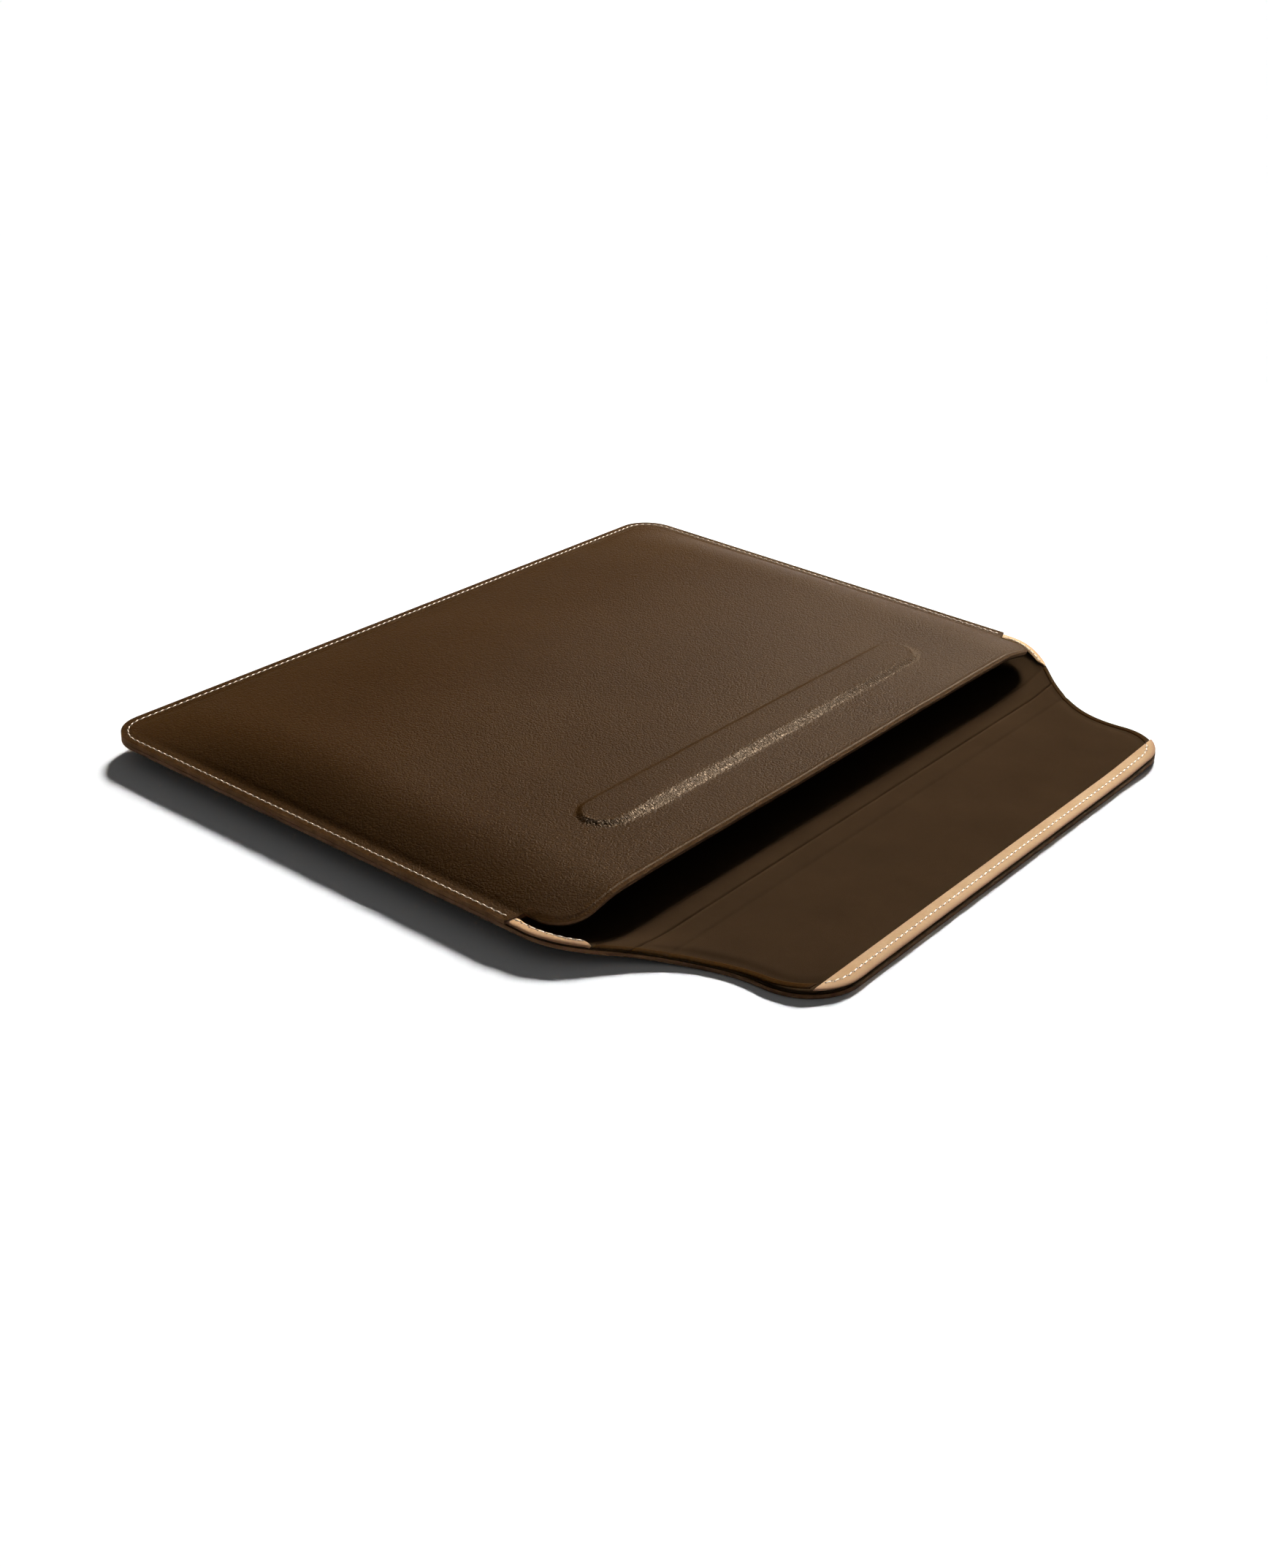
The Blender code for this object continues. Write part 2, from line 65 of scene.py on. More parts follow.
# Places and thicknesses from the CAD model
BODY_HALF_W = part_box("back_outer_leather")[1].x
CLOSED_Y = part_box("back_outer_leather")[1].y
MOUTH_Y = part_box("front_outer_leather")[0].y
FREE_EDGE_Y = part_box("flap_outer_leather")[0].y
LEATHER_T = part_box("spine_outer_leather")[1].z
STACK_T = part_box("spine_lining")[1].z
LINING_T = STACK_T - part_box("spine_lining")[0].z
FACING_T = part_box("flap_facing")[1].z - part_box("flap_facing")[0].z
FLAP_HALF_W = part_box("flap_facing")[1].x + 0.5 * MM
FACING_LINE_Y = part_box("flap_facing")[1].y
HINGES = {joint["name"]: Vector(joint["pos_m"]) for joint in frame["joints"]}
FOLD_1 = HINGES["spine_fold"]
FOLD_2 = HINGES["flap_fold"]
SPINE_MIDDLE_Y = (FOLD_1.y + FOLD_2.y) / 2
BAR_LOW, BAR_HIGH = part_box("bar_former")
BAR_Y = (BAR_LOW.y + BAR_HIGH.y) / 2
BAR_MARGIN = LEATHER_T + 0.3 * MM
BAR_HALF_L = BAR_HIGH.x + BAR_MARGIN
BAR_R = (BAR_HIGH.y - BAR_LOW.y) / 2 + BAR_MARGIN

# Outlines: the lip is the front panel's free end, and the flap narrows from its tail to its neck
CLOSED_CORNER_R = 16 * MM
SEAM_END_Y = -51.6 * MM
SEAM_W = 5 * MM
LIP_START_Y = -54.4 * MM
LIP_HALF_W = 161 * MM
LIP_THINNING = 0.72
LIP_THINNING_RUN = 6 * MM
LIP_CORNER_R = 14 * MM
TAIL_START_Y = -58 * MM
NECK_Y = -83 * MM
NECK_HALF_W = 154.2 * MM
NECK_SLOPE = 1.05
FLAP_CORNER_R = 23 * MM

# Heights: a pair gives where a fall or a lift starts and how far it runs
SEAM_TOP_Z = 10.2 * MM
SEAM_GAP = 0.15 * MM
SEAM_BOTTOM_Z = SEAM_TOP_Z - 2 * LEATHER_T - SEAM_GAP
FRONT_RISE = 8.8 * MM
SIDE_RUN = 38 * MM
SIDE_POWER = 2.6
SIDE_EASE = 1.15
END_RUN = 90 * MM
END_POWER = 2.2
MOUTH_FALL = 0.0225
MOUTH_FALL_START_Y = 40 * MM
LIP_DROOP = 1.6 * MM
LIP_DROOP_X = (132 * MM, 28 * MM)
LIP_DROOP_Y = (-45 * MM, 25 * MM)
BACK_RUN = 18 * MM
FREE_MARGIN = 2.8 * MM
FREE_MARGIN_RUN = 6 * MM
SEAM_FILLET = 3.5 * MM
SEAM_PRESS = 0.14 * MM
SEAM_PRESS_W = 0.7 * MM
SEAM_PRESS_RUN = 2 * MM
EDGE_FALL_Y = (-54 * MM, 58 * MM)
FLAP_CORNER_LIFT = 2 * MM
FLAP_CORNER_X = (80 * MM, 57 * MM)
FLAP_CORNER_Y = (-110 * MM, 43 * MM)

# Slow waves in the front panel: radians per metre in x and in y, phase, and share of the height
WAVE_HEIGHT = 0.11 * MM
WAVES = ((41, 17, 0.7, 1.0), (-23, 63, 2.1, 0.7), (118, 71, 0.0, 0.5))

# Bar, hem and creases: a shoulder runs from the first distance outside the bar to the second
BAR_RISE = 1.2 * MM
BAR_SHOULDER = (-1.2 * MM, 2.0 * MM)
BAR_FAR_SHOULDER = (-3.2 * MM, -1.2 * MM)
BAR_NARROWING = 0.9 * MM
BAR_END_NARROWING = 1.1 * MM
BAR_FILLET_POWER = 1.35
BAR_EDGE_SOFTNESS = 0.06
HEM_LINE = 2.0 * MM
HEM_STEP = 0.2 * MM
HEM_W = 0.45 * MM
HEM_RUN = 3 * MM
CREASE_DEPTH = 0.3 * MM
CREASE_W = 0.9 * MM
EDGE_DIP = (4.5 * MM, 9 * MM)
EDGE_DIP_RUN = 8 * MM
EDGE_DIP_DEPTH = STACK_T - LINING_T - LEATHER_T - 0.12 * MM

# Stitching
SEAM_STITCH_INSET = 2.7 * MM
FLAP_STITCH_INSET = 3.8 * MM
TRIM_STITCH_INSET = 3.4 * MM
STITCH_PITCH = 3.15 * MM
STITCH_LENGTH = 2.35 * MM
THREAD_R = 0.17 * MM
STITCH_LOOK = 0.2 * MM
STITCH_SLANT = math.radians(9)
STITCH_BOW = 0.75
STITCH_TAPER = 0.35
STITCH_FLATNESS = 0.85
STITCH_SINK = 0.35 * MM
STITCH_RINGS = 7
STITCH_SIDES = 8
SEAM_STITCH_SINK = 0.12 * MM
# Holes are flat dark discs just above the leather: painted shade of the stitch holes
HOLE_R = 0.42 * MM
HOLE_PLACE = 0.52
HOLE_NARROWING = 0.8
HOLE_LIFT = 0.03 * MM

# Tan trims and side bindings
TRIM_INSETS = (0.25 * MM, 4.5 * MM)
TRIM_Y = (-52.2 * MM, -79.4 * MM)
TRIM_ROLL = 1.5 * MM
SIDE_ROLL_DROP = 0.6 * MM
FACING_ROLL_DROP = 0.55 * MM
TRIM_END_R = 4.5 * MM
TRIM_END_NARROWING = 0.8
BINDING_INSETS = (0.5 * MM, 3.4 * MM)
BINDING_RISE = 0.35 * MM
BINDING_COLUMNS = 8
BINDING_SLOPE = 0.12

# Lining: sewn in along the seam, and nearly as wide as the leather elsewhere
LINING_SEAM_INSET = 9 * MM
LINING_LIP_INSET = 1.2 * MM
LINING_MARGIN = 0.6 * MM
LINING_STEP_RUN = 3 * MM
LINING_FIRST_ROW = 10
FRONT_LINING_COLUMNS = 150
BACK_LINING_COLUMNS = 170

# Soft edges
FRONT_BEVEL = 0.25 * MM
PANEL_BEVEL = 0.45 * MM
TRIM_BEVEL = 0.18 * MM
FACING_BEVEL = 0.15 * MM
WORN_W = 2.2 * MM
TRIM_WORN_W = 1.2 * MM
FACING_WORN_W = 1.3 * MM

# Grid lines of the panels: they follow an edge up to the fixed inset and are straight past the
# stretch inset. Rows are spacings along y
FIXED_INSET = 16 * MM
STRETCH_INSET = 60 * MM
EDGE_INSETS = np.array([0, 0.8, 1.5, 2.2, 3, 4, 5, 6, 7, 8, 9.5, 11, 12.5, 14, 16]) * MM
COARSE = 2.2 * MM
FINE = 0.55 * MM
STEP_ROWS = 0.3 * MM
LIP_ROWS = 1.2 * MM
HEM_ROWS = 0.2 * MM
HEM_ROWS_Y = MOUTH_Y + 4 * MM
BAR_ROWS_Y = BAR_Y + 16 * MM
BAR_COLUMNS = (BAR_HALF_L - BAR_R - 2 * MM, BAR_HALF_L + 4 * MM)
CREASE_BAND = 4 * MM
CREASE_ROWS = 0.5 * MM
BEND_ROWS = 1.5 * MM
ROLL_COLUMNS = 8
TRIM_COLUMNS = 7
TRIM_ROWS = 0.7 * MM
BINDING_ROWS = 0.9 * MM
FACING_STEP = 2 * MM
CORNER_POINTS = 24

# Colours, in values from 0 to 255 on a display
LEATHER_DARK = (47, 28, 6)
LEATHER_LIGHT = (54, 34, 10)
LEATHER_WORN = (72, 49, 29)
EDGE_PAINT = ((92, 68, 47), (110, 82, 58))
CLOTH = ((48, 35, 22), (54, 40, 26))
CLOTH_PILE = (68, 53, 37)
FACING_TAN = ((176, 142, 104), (188, 158, 121))
# The side trims' tan is the facing's tan made lighter: painted light, as the trims turn away from
# the key light
TRIM_TAN_PAINTED_LIGHT = ((196, 154, 108), (208, 170, 124))
TAN_FIBRE = (156, 120, 86)
TAN_WORN = (150, 108, 84)
CREAM_THREAD = ((178, 154, 124), (128, 106, 82))
PALE_THREAD = ((216, 206, 198), (160, 146, 138))
HOLE_SHADE = ((18, 10, 5), (34, 21, 12))
BOARD_GREY = ((118, 108, 94), (152, 142, 126))

# Metals and reflections, as linear colours
STEEL = (0.50, 0.50, 0.52, 1.0)
NICKEL = (0.62, 0.61, 0.58, 1.0)
METAL_LINES = (0.3, 0.3, 0.31, 1.0)
LEATHER_SHINE = (1.0, 0.77, 0.50, 1.0)
FLOOR_COLOUR = (0.93, 0.93, 0.93, 1.0)

# Leather: pattern scales per metre, then its bump and gloss and where the bar is rubbed
PEBBLES = 820
WRINKLES = 330
PORES = 2600
DYE_PATCHES = 14
DYE_SPECKS = 1100
SCUFFS = 260
RUBBED_SPOTS = 900
GRAIN_DEPTH = 0.22 * MM
GRAIN_OPENING = 4.5
LEATHER_GLOSS = 0.004
TURNED_EDGE_GLOSS = 0.0005
RUBBED_X = (-0.05, 0.08)
RUBBED_GLOSS = 3.2

# Lights: heading from +X towards +Y, height above the horizon and softness are in degrees
FILL = 0.075
KEY = {"heading": 22, "height": 34, "strength": 5.9, "softness": 10}
GLINT = {"heading": -9, "height": 40, "strength": 210, "softness": 8}
GLINT_COLOUR = (1.0, 0.80, 0.60)
SOFTBOX_AIM = (0.14, 0.0, 0.018)
SOFTBOX_HEADING = 22
SOFTBOX_HEIGHT = 30
SOFTBOX_DISTANCE = 0.45
SOFTBOX_SIZE = 0.12
SOFTBOX_POWER = 3.0
FLOOR_HALF_W = 40
FLOOR_GAP = 0.2 * MM

CAMERA_PLACE = Vector((-599.28, -423.49, 358.24)) * MM
CAMERA_LENS = 46.31
CAMERA_SENSOR = 36
CAMERA_HEADING = math.radians(36.75)
CAMERA_DOWN = math.radians(27.45)
CAMERA_ROLL = math.radians(3.26)


# ---- Shapes ----

def smooth(t):
    t = np.clip(t, 0, 1)
    return t * t * (3 - 2 * t)


def risen(distance, start_and_run):
    """0 up to a start, and 1 past the end of a run."""
    start, run = start_and_run
    return smooth((distance - start) / run)


def fallen(y, start_and_run):
    """0 above a start, and 1 below the end of a run."""
    start, run = start_and_run
    return smooth((start - y) / run)


def ridge(distance, width):
    return np.exp(-(distance / width) ** 2)


def hermite(start, end, slope_start, slope_end, t):
    return (start * (2 * t**3 - 3 * t**2 + 1) + slope_start * (t**3 - 2 * t**2 + t)
            + end * (3 * t**2 - 2 * t**3) + slope_end * (t**3 - t**2))


def inward(x, y, half, end, radius, direction):
    """Distance inwards from an outline with straight sides and one round-cornered end."""
    across = np.abs(x) - (half - radius)
    along = direction * (y - end) + radius
    corner = np.hypot(np.maximum(across, 0), np.maximum(along, 0))
    return radius - corner - np.minimum(np.maximum(across, along), 0)


def half_width(y):
    """Half the width of the back panel, spine or flap at y."""
    straight_y = FREE_EDGE_Y + FLAP_CORNER_R
    tail_run = TAIL_START_Y - NECK_Y
    neck_run = NECK_Y - straight_y
    tail_t = np.clip((TAIL_START_Y - y) / tail_run, 0, 1)
    neck_t = np.clip((NECK_Y - y) / neck_run, 0, 1)
    tail = hermite(BODY_HALF_W, NECK_HALF_W, 0, -NECK_SLOPE * tail_run, tail_t)
    neck = hermite(NECK_HALF_W, FLAP_HALF_W, -NECK_SLOPE * neck_run, 0, neck_t)
    return np.where(y >= NECK_Y, tail, neck)


def front_half(y):
    """Half the width of the front panel: it steps in from the seam's end to the free lip."""
    step = smooth((SEAM_END_Y - y) / (SEAM_END_Y - LIP_START_Y))
    return BODY_HALF_W + (LIP_HALF_W - BODY_HALF_W) * step


def seam_inset(x, y):
    return inward(x, y, BODY_HALF_W, CLOSED_Y, CLOSED_CORNER_R, 1)


def bar_distance(x, y):
    """Distance outwards from the bar's outline."""
    return np.hypot(np.maximum(np.abs(x) - (BAR_HALF_L - BAR_R), 0), y - BAR_Y) - BAR_R


def bar_shoulder(x, y):
    """Where the bar's side starts to fall and where it has run out, outwards of its outline."""
    far = smooth((y - BAR_Y) / BAR_R)
    narrowed = BAR_NARROWING * smooth((x + BAR_HALF_L) / (2 * BAR_HALF_L))
    narrowed = narrowed + BAR_END_NARROWING * smooth((3 * BAR_R - BAR_HALF_L - x) / (2 * BAR_R))
    start = BAR_SHOULDER[0] + (BAR_FAR_SHOULDER[0] - BAR_SHOULDER[0]) * far
    end = BAR_SHOULDER[1] - narrowed
    return start, end + (BAR_FAR_SHOULDER[1] - end) * far


def bar_relief(x, y):
    """A crisp upper edge that runs out into a soft fillet, which narrows towards +X."""
    start, end = bar_shoulder(x, y)
    t = np.minimum((bar_distance(x, y) - start) / (end - start), 1)
    softened = (t + np.sqrt(t**2 + BAR_EDGE_SOFTNESS**2)) / 2
    return BAR_RISE * (1 - np.clip(softened, 0, 1)) ** BAR_FILLET_POWER


def stretched(x, y):
    """Where the leather is pulled over the bar's shoulder and its grain opens."""
    start, end = bar_shoulder(x, y)
    near = 1 - smooth((y - BAR_Y) / (0.5 * BAR_R))
    return near * ridge(bar_distance(x, y) - (start + end) / 2, (end - start) / 1.6)


def hem_relief(x, y):
    """A turned hem round the lip: a raised line and a small step down to the edge."""
    inset = inward(x, y, LIP_HALF_W, MOUTH_Y, LIP_CORNER_R, -1)
    step = smooth((HEM_LINE - inset) / HEM_W + 0.5)
    line = 0.5 * ridge(inset - HEM_LINE - HEM_W, HEM_W)
    free = fallen(y, (LIP_START_Y, HEM_RUN))
    return HEM_STEP * (line - step) * free


def unevenness(x, y):
    """Slow, shallow waves of a hand-worked panel."""
    return WAVE_HEIGHT * sum(share * np.sin(per_x * x + per_y * y + phase)
                             for per_x, per_y, phase, share in WAVES)


def front_height(x, y):
    inset = seam_inset(x, y)
    side_t = np.clip((BODY_HALF_W - SEAM_W - np.abs(x)) / SIDE_RUN, 0, 1)
    end_t = np.clip((CLOSED_Y - SEAM_W - y) / END_RUN, 0, 1)
    side = 1 - (1 - side_t**SIDE_EASE) ** SIDE_POWER
    end = 1 - (1 - end_t) ** END_POWER
    fall = MOUTH_FALL * np.maximum(MOUTH_FALL_START_Y - y, 0)
    fall += LIP_DROOP * risen(np.abs(x), LIP_DROOP_X) * fallen(y, LIP_DROOP_Y)
    fillet = smooth((inset - SEAM_W) / SEAM_FILLET)
    bulge = (FRONT_RISE - fall + unevenness(x, y)) * side * end * fillet
    sewn = smooth((y - SEAM_END_Y) / SEAM_PRESS_RUN)
    pressed = SEAM_PRESS * ridge(inset - SEAM_STITCH_INSET, SEAM_PRESS_W) * sewn
    return SEAM_TOP_Z + bulge - pressed + bar_relief(x, y) + hem_relief(x, y)


def front_under(x, y):
    """The front panel's surface without its bar and hem, which the lining doesn't follow."""
    return front_height(x, y) - bar_relief(x, y) - hem_relief(x, y)


def edge_height(y):
    """Underside of the back panel along its side edges."""
    return SEAM_BOTTOM_Z * (1 - fallen(y, EDGE_FALL_Y))


def back_height(x, y):
    """Underside of the back panel, spine and flap."""
    body = seam_inset(x, y)
    sewn = smooth((y - SEAM_END_Y) / FREE_MARGIN_RUN + 1)
    margin = FREE_MARGIN + (SEAM_W - FREE_MARGIN) * sewn
    inset = np.where(y > SEAM_END_Y, body, half_width(y) - np.abs(x)) - margin
    fall = 1 - (1 - np.clip(inset / (BACK_RUN + SEAM_W - margin), 0, 1)) ** 2
    lift = FLAP_CORNER_LIFT * risen(x, FLAP_CORNER_X) * fallen(y, FLAP_CORNER_Y)
    return edge_height(y) * (1 - fall * smooth(inset / SEAM_FILLET)) + lift


def creases(y):
    return CREASE_DEPTH * (ridge(y - FOLD_1.y, CREASE_W) + ridge(y - FOLD_2.y, CREASE_W))


def outline_inset(x, y):
    """Distance inwards from the free outline of the spine and flap."""
    flap = inward(x, y, FLAP_HALF_W, FREE_EDGE_Y, FLAP_CORNER_R, -1)
    return np.where(y < FREE_EDGE_Y + FLAP_CORNER_R, flap, half_width(y) - np.abs(x))


def lining_height(x, y):
    """Face of the lining, which comes down on the leather along the sides."""
    start, end = EDGE_DIP
    open_part = fallen(y, (SEAM_END_Y + EDGE_DIP_RUN, EDGE_DIP_RUN))
    dip = EDGE_DIP_DEPTH * open_part * smooth((end - outline_inset(x, y)) / (end - start))
    return back_height(x, y) + STACK_T - creases(y) - dip


# ---- Grids ----

def spaced(start, end, step):
    """Evenly spaced values from start to end, about a step apart, without the end."""
    count = max(1, round(abs(end - start) / step))
    return np.linspace(start, end, count, endpoint=False)


def round_end(x, y, centre_x, centre_y, radius, direction):
    """Bends the square corners past a centre into round ones, at the end in one direction of y."""
    across = (np.abs(x) - centre_x) / radius
    along = direction * (y - centre_y) / radius
    inside = (across > 0) & (along > 0) & (along <= 1 + 1e-6)
    bent_x = centre_x + radius * across * np.sqrt(np.maximum(1 - along**2 / 2, 0))
    bent_y = centre_y + direction * radius * along * np.sqrt(np.maximum(1 - across**2 / 2, 0))
    return np.where(inside, np.sign(x) * bent_x, x), np.where(inside, bent_y, y)


def round_closed(x, y):
    centre_x, centre_y = BODY_HALF_W - CLOSED_CORNER_R, CLOSED_Y - CLOSED_CORNER_R
    return round_end(x, y, centre_x, centre_y, CLOSED_CORNER_R, 1)


def round_lip(x, y, radius=LIP_CORNER_R):
    centre_x, centre_y = LIP_HALF_W - LIP_CORNER_R, MOUTH_Y + LIP_CORNER_R
    return round_end(x, y, centre_x, centre_y, radius, -1)


def round_front(x, y):
    return round_lip(*round_closed(x, y))


def round_flap(x, y, radius=FLAP_CORNER_R):
    centre_x, centre_y = FLAP_HALF_W - FLAP_CORNER_R, FREE_EDGE_Y + FLAP_CORNER_R
    return round_end(x, y, centre_x, centre_y, radius, -1)


def grid_mesh(name, xs, ys, zs, faces_down=False, worn=None, stretch=None):
    """A quad grid of points with UVs in metres. Arrays are rows by columns."""
    rows, columns = xs.shape
    points = np.stack([xs, ys, zs], axis=-1).reshape(-1, 3)
    row, column = np.meshgrid(np.arange(rows - 1), np.arange(columns - 1), indexing="ij")
    corner = (row * columns + column).ravel()
    faces = np.stack([corner, corner + columns, corner + columns + 1, corner + 1], axis=1)
    if faces_down:
        faces = faces[:, ::-1]
    mesh = bpy.data.meshes.new(name)
    mesh.from_pydata(points.tolist(), [], faces.tolist())
    uv = mesh.uv_layers.new(name="UVMap")
    loops = faces.ravel()
    uv.data.foreach_set("uv", points[loops][:, :2].astype(np.float32).ravel())
    for label, values in (("edge_wear", worn), ("stretch", stretch)):
        if values is not None:
            layer = mesh.attributes.new(label, "FLOAT", "POINT")
            layer.data.foreach_set("value", values.astype(np.float32).ravel())
    mesh.shade_smooth()
    return mesh


def panel_columns(ys, half, fine_band=None):
    """X of every grid point: fixed insets near the side edges, straight lines in the middle."""
    middle = list(spaced(FIXED_INSET, BODY_HALF_W, COARSE)) + [BODY_HALF_W]
    if fine_band:
        low, high = fine_band
        middle += list(spaced(BODY_HALF_W - high, BODY_HALF_W - low, FINE * 1.5))
    insets = np.unique(np.concatenate([EDGE_INSETS, middle]).round(6))
    halves = half(ys)[:, None]
    still = BODY_HALF_W - STRETCH_INSET
    share = (STRETCH_INSET - insets) / (STRETCH_INSET - FIXED_INSET)
    between = still + share * (halves - FIXED_INSET - still)
    side = np.where(insets <= FIXED_INSET, halves - insets,
                    np.where(insets >= STRETCH_INSET, BODY_HALF_W - insets, between))
    return np.concatenate([-side, side[:, -2::-1]], axis=1)


def panel(name, ys, half, height, round_point, faces_down=False, fine_band=None):
    xs = panel_columns(ys, half, fine_band)
    grid_y = np.repeat(ys[:, None], xs.shape[1], axis=1)
    edge = half(ys)[:, None] - np.abs(xs)
    end = np.minimum(grid_y - ys.min(), ys.max() - grid_y)
    worn = ridge(np.minimum(edge, end), WORN_W)
    xs, grid_y = round_point(xs, grid_y)
    stretch = stretched(xs, grid_y)
    return grid_mesh(name, xs, grid_y, height(xs, grid_y), faces_down, worn, stretch)


def lining_mesh(name, ys, half, height, columns, round_point=None):
    """A grid with evenly spaced columns, which fills the width at each row."""
    xs = half(ys)[:, None] * np.linspace(-1, 1, columns)[None, :]
    grid_y = np.repeat(ys[:, None], columns, axis=1)
    if round_point:
        xs, grid_y = round_point(xs, grid_y)
    return grid_mesh(name, xs, grid_y, height(xs, grid_y))


def new_piece(name, mesh, material, edge_material=None, thickness=None, bevel=None, thin=None):
    """A piece made of a sheet: its thickness goes inwards from the sheet's face."""
    piece = bpy.data.objects.new(name, mesh)
    bpy.context.scene.collection.objects.link(piece)
    mesh.materials.append(material)
    if thickness:
        shell = piece.modifiers.new("thickness", "SOLIDIFY")
        shell.thickness = thickness
        shell.offset = -1
        shell.use_even_offset = True
        if edge_material:
            mesh.materials.append(edge_material)
            shell.material_offset_rim = 1
        if thin is not None:
            group = piece.vertex_groups.new(name="thickness")
            for index, weight in enumerate(thin.tolist()):
                group.add([index], weight, "REPLACE")
            shell.vertex_group = group.name
    if bevel:
        soft = piece.modifiers.new("soft edges", "BEVEL")
        soft.width = bevel
        soft.segments = 3
        soft.limit_method = "ANGLE"
        soft.angle_limit = math.radians(55)
    return piece


def body_rows():
    """Rows of the stitched part of a panel, from the closed edge to the bar."""
    end = CLOSED_Y - EDGE_INSETS
    return np.concatenate([end[:-1], spaced(end[-1], BAR_ROWS_Y, COARSE)])


def front_rows():
    bar = spaced(BAR_ROWS_Y, SEAM_END_Y + 1 * MM, FINE)
    step = spaced(SEAM_END_Y + 1 * MM, LIP_START_Y - 0.5 * MM, STEP_ROWS)
    lip = spaced(LIP_START_Y - 0.5 * MM, HEM_ROWS_Y, LIP_ROWS)
    hem = spaced(HEM_ROWS_Y, MOUTH_Y + 0.8 * MM, HEM_ROWS)
    return np.concatenate([body_rows(), bar, step, lip, hem, [MOUTH_Y + 0.6 * MM, MOUTH_Y]])


def crease_rows(start_y, crease_y, end_y, end_step):
    """Rows across a crease, close together near it, without the last one."""
    above = spaced(start_y, crease_y + CREASE_BAND, BEND_ROWS)
    crease = spaced(crease_y + CREASE_BAND, crease_y - CREASE_BAND, CREASE_ROWS)
    return [above, crease, spaced(crease_y - CREASE_BAND, end_y, end_step)]


def back_rows():
    tail = crease_rows(SEAM_END_Y, FOLD_1.y, SPINE_MIDDLE_Y, BEND_ROWS)
    return np.concatenate([body_rows(), spaced(BAR_ROWS_Y, SEAM_END_Y, COARSE), *tail,
                           [SPINE_MIDDLE_Y]])


def flap_rows(end_y):
    rows = crease_rows(SPINE_MIDDLE_Y, FOLD_2.y, FREE_EDGE_Y + EDGE_INSETS[-1], COARSE)
    edge = (FREE_EDGE_Y + EDGE_INSETS)[::-1]
    return np.concatenate([*rows, edge[edge > end_y + 0.3 * MM], [end_y]])


# ---- Materials ----

def srgb(red, green, blue):
    """A linear colour from 0 to 255 display values."""
    values = np.array([red, green, blue]) / 255
    linear = np.where(values <= 0.04045, values / 12.92, ((values + 0.055) / 1.055) ** 2.4)
    return (*linear.tolist(), 1.0)


class Nodes:
    """A material's node tree, with short calls for the nodes used here."""

    def __init__(self, name):
        self.material = bpy.data.materials.new(name)
        self.material.use_nodes = True
        self.tree = self.material.node_tree
        self.shader = self.tree.nodes["Principled BSDF"]
        self.uv = self.add("ShaderNodeUVMap", uv_map="UVMap").outputs["UV"]

    def add(self, kind, inputs=None, **settings):
        node = self.tree.nodes.new(kind)
        for key, value in settings.items():
            setattr(node, key, value)
        for key, value in (inputs or {}).items():
            self.feed(node.inputs[key], value)
        return node

    def feed(self, socket, value):
        if isinstance(value, bpy.types.NodeSocket):
            self.tree.links.new(value, socket)
        else:
            socket.default_value = value

    def noise(self, scale, detail=3.0, roughness=0.55, vector=None):
        node = self.add("ShaderNodeTexNoise", {"Vector": vector or self.uv, "Scale": scale,
                                               "Detail": detail, "Roughness": roughness})
        return node.outputs["Fac"]

    def cells(self, scale, vector):
        """Distance from the borders of irregular cells."""
        node = self.add("ShaderNodeTexVoronoi", {"Vector": vector, "Scale": scale},
                        feature="DISTANCE_TO_EDGE")
        return node.outputs["Distance"]

    def attribute(self, name):
        return self.add("ShaderNodeAttribute", attribute_name=name).outputs["Fac"]

    def plus(self, first, second):
        node = self.add("ShaderNodeMath", {0: first, 1: second}, operation="ADD")
        return node.outputs["Value"]

    def times(self, first, second):
        node = self.add("ShaderNodeMath", {0: first, 1: second}, operation="MULTIPLY")
        return node.outputs["Value"]

    def spread(self, value, low, high, out_low=0.0, out_high=1.0):
        node = self.add("ShaderNodeMapRange", {"Value": value, "From Min": low, "From Max": high,
                                               "To Min": out_low, "To Max": out_high})
        return node.outputs["Result"]

    def mix(self, factor, first, second):
        node = self.add("ShaderNodeMix", data_type="RGBA")
        self.feed(node.inputs[0], factor)
        self.feed(node.inputs[6], first)
        self.feed(node.inputs[7], second)
        return node.outputs[2]

    def warped(self, scale, amount):
        """UVs pushed about by noise, so that cells aren't straight-sided."""
        noise = self.add("ShaderNodeTexNoise", {"Vector": self.uv, "Scale": scale})
        centred = self.add("ShaderNodeVectorMath", {0: noise.outputs["Color"],
                                                    1: (0.5, 0.5, 0.5)}, operation="SUBTRACT")
        push = self.add("ShaderNodeVectorMath", {0: centred.outputs["Vector"]}, operation="SCALE")
        push.inputs["Scale"].default_value = amount
        moved = self.add("ShaderNodeVectorMath", {0: self.uv, 1: push.outputs["Vector"]},
                         operation="ADD")
        return moved.outputs["Vector"]

    def bump(self, height, strength, distance):
        node = self.add("ShaderNodeBump", {"Height": height, "Strength": strength,
                                           "Distance": distance})
        self.feed(self.shader.inputs["Normal"], node.outputs["Normal"])

    def shade(self, colour, factor):
        """A colour made darker or lighter by a factor near 1."""
        node = self.add("ShaderNodeVectorMath", {0: colour}, operation="SCALE")
        self.feed(node.inputs["Scale"], factor)
        return node.outputs["Vector"]

    def finish(self, colour, roughness, metallic=0.0, specular=0.5, sheen=0.0):
        for key, value in (("Base Color", colour), ("Roughness", roughness),
                           ("Metallic", metallic), ("Specular IOR Level", specular),
                           ("Sheen Weight", sheen)):
            self.feed(self.shader.inputs[key], value)
        return self.material


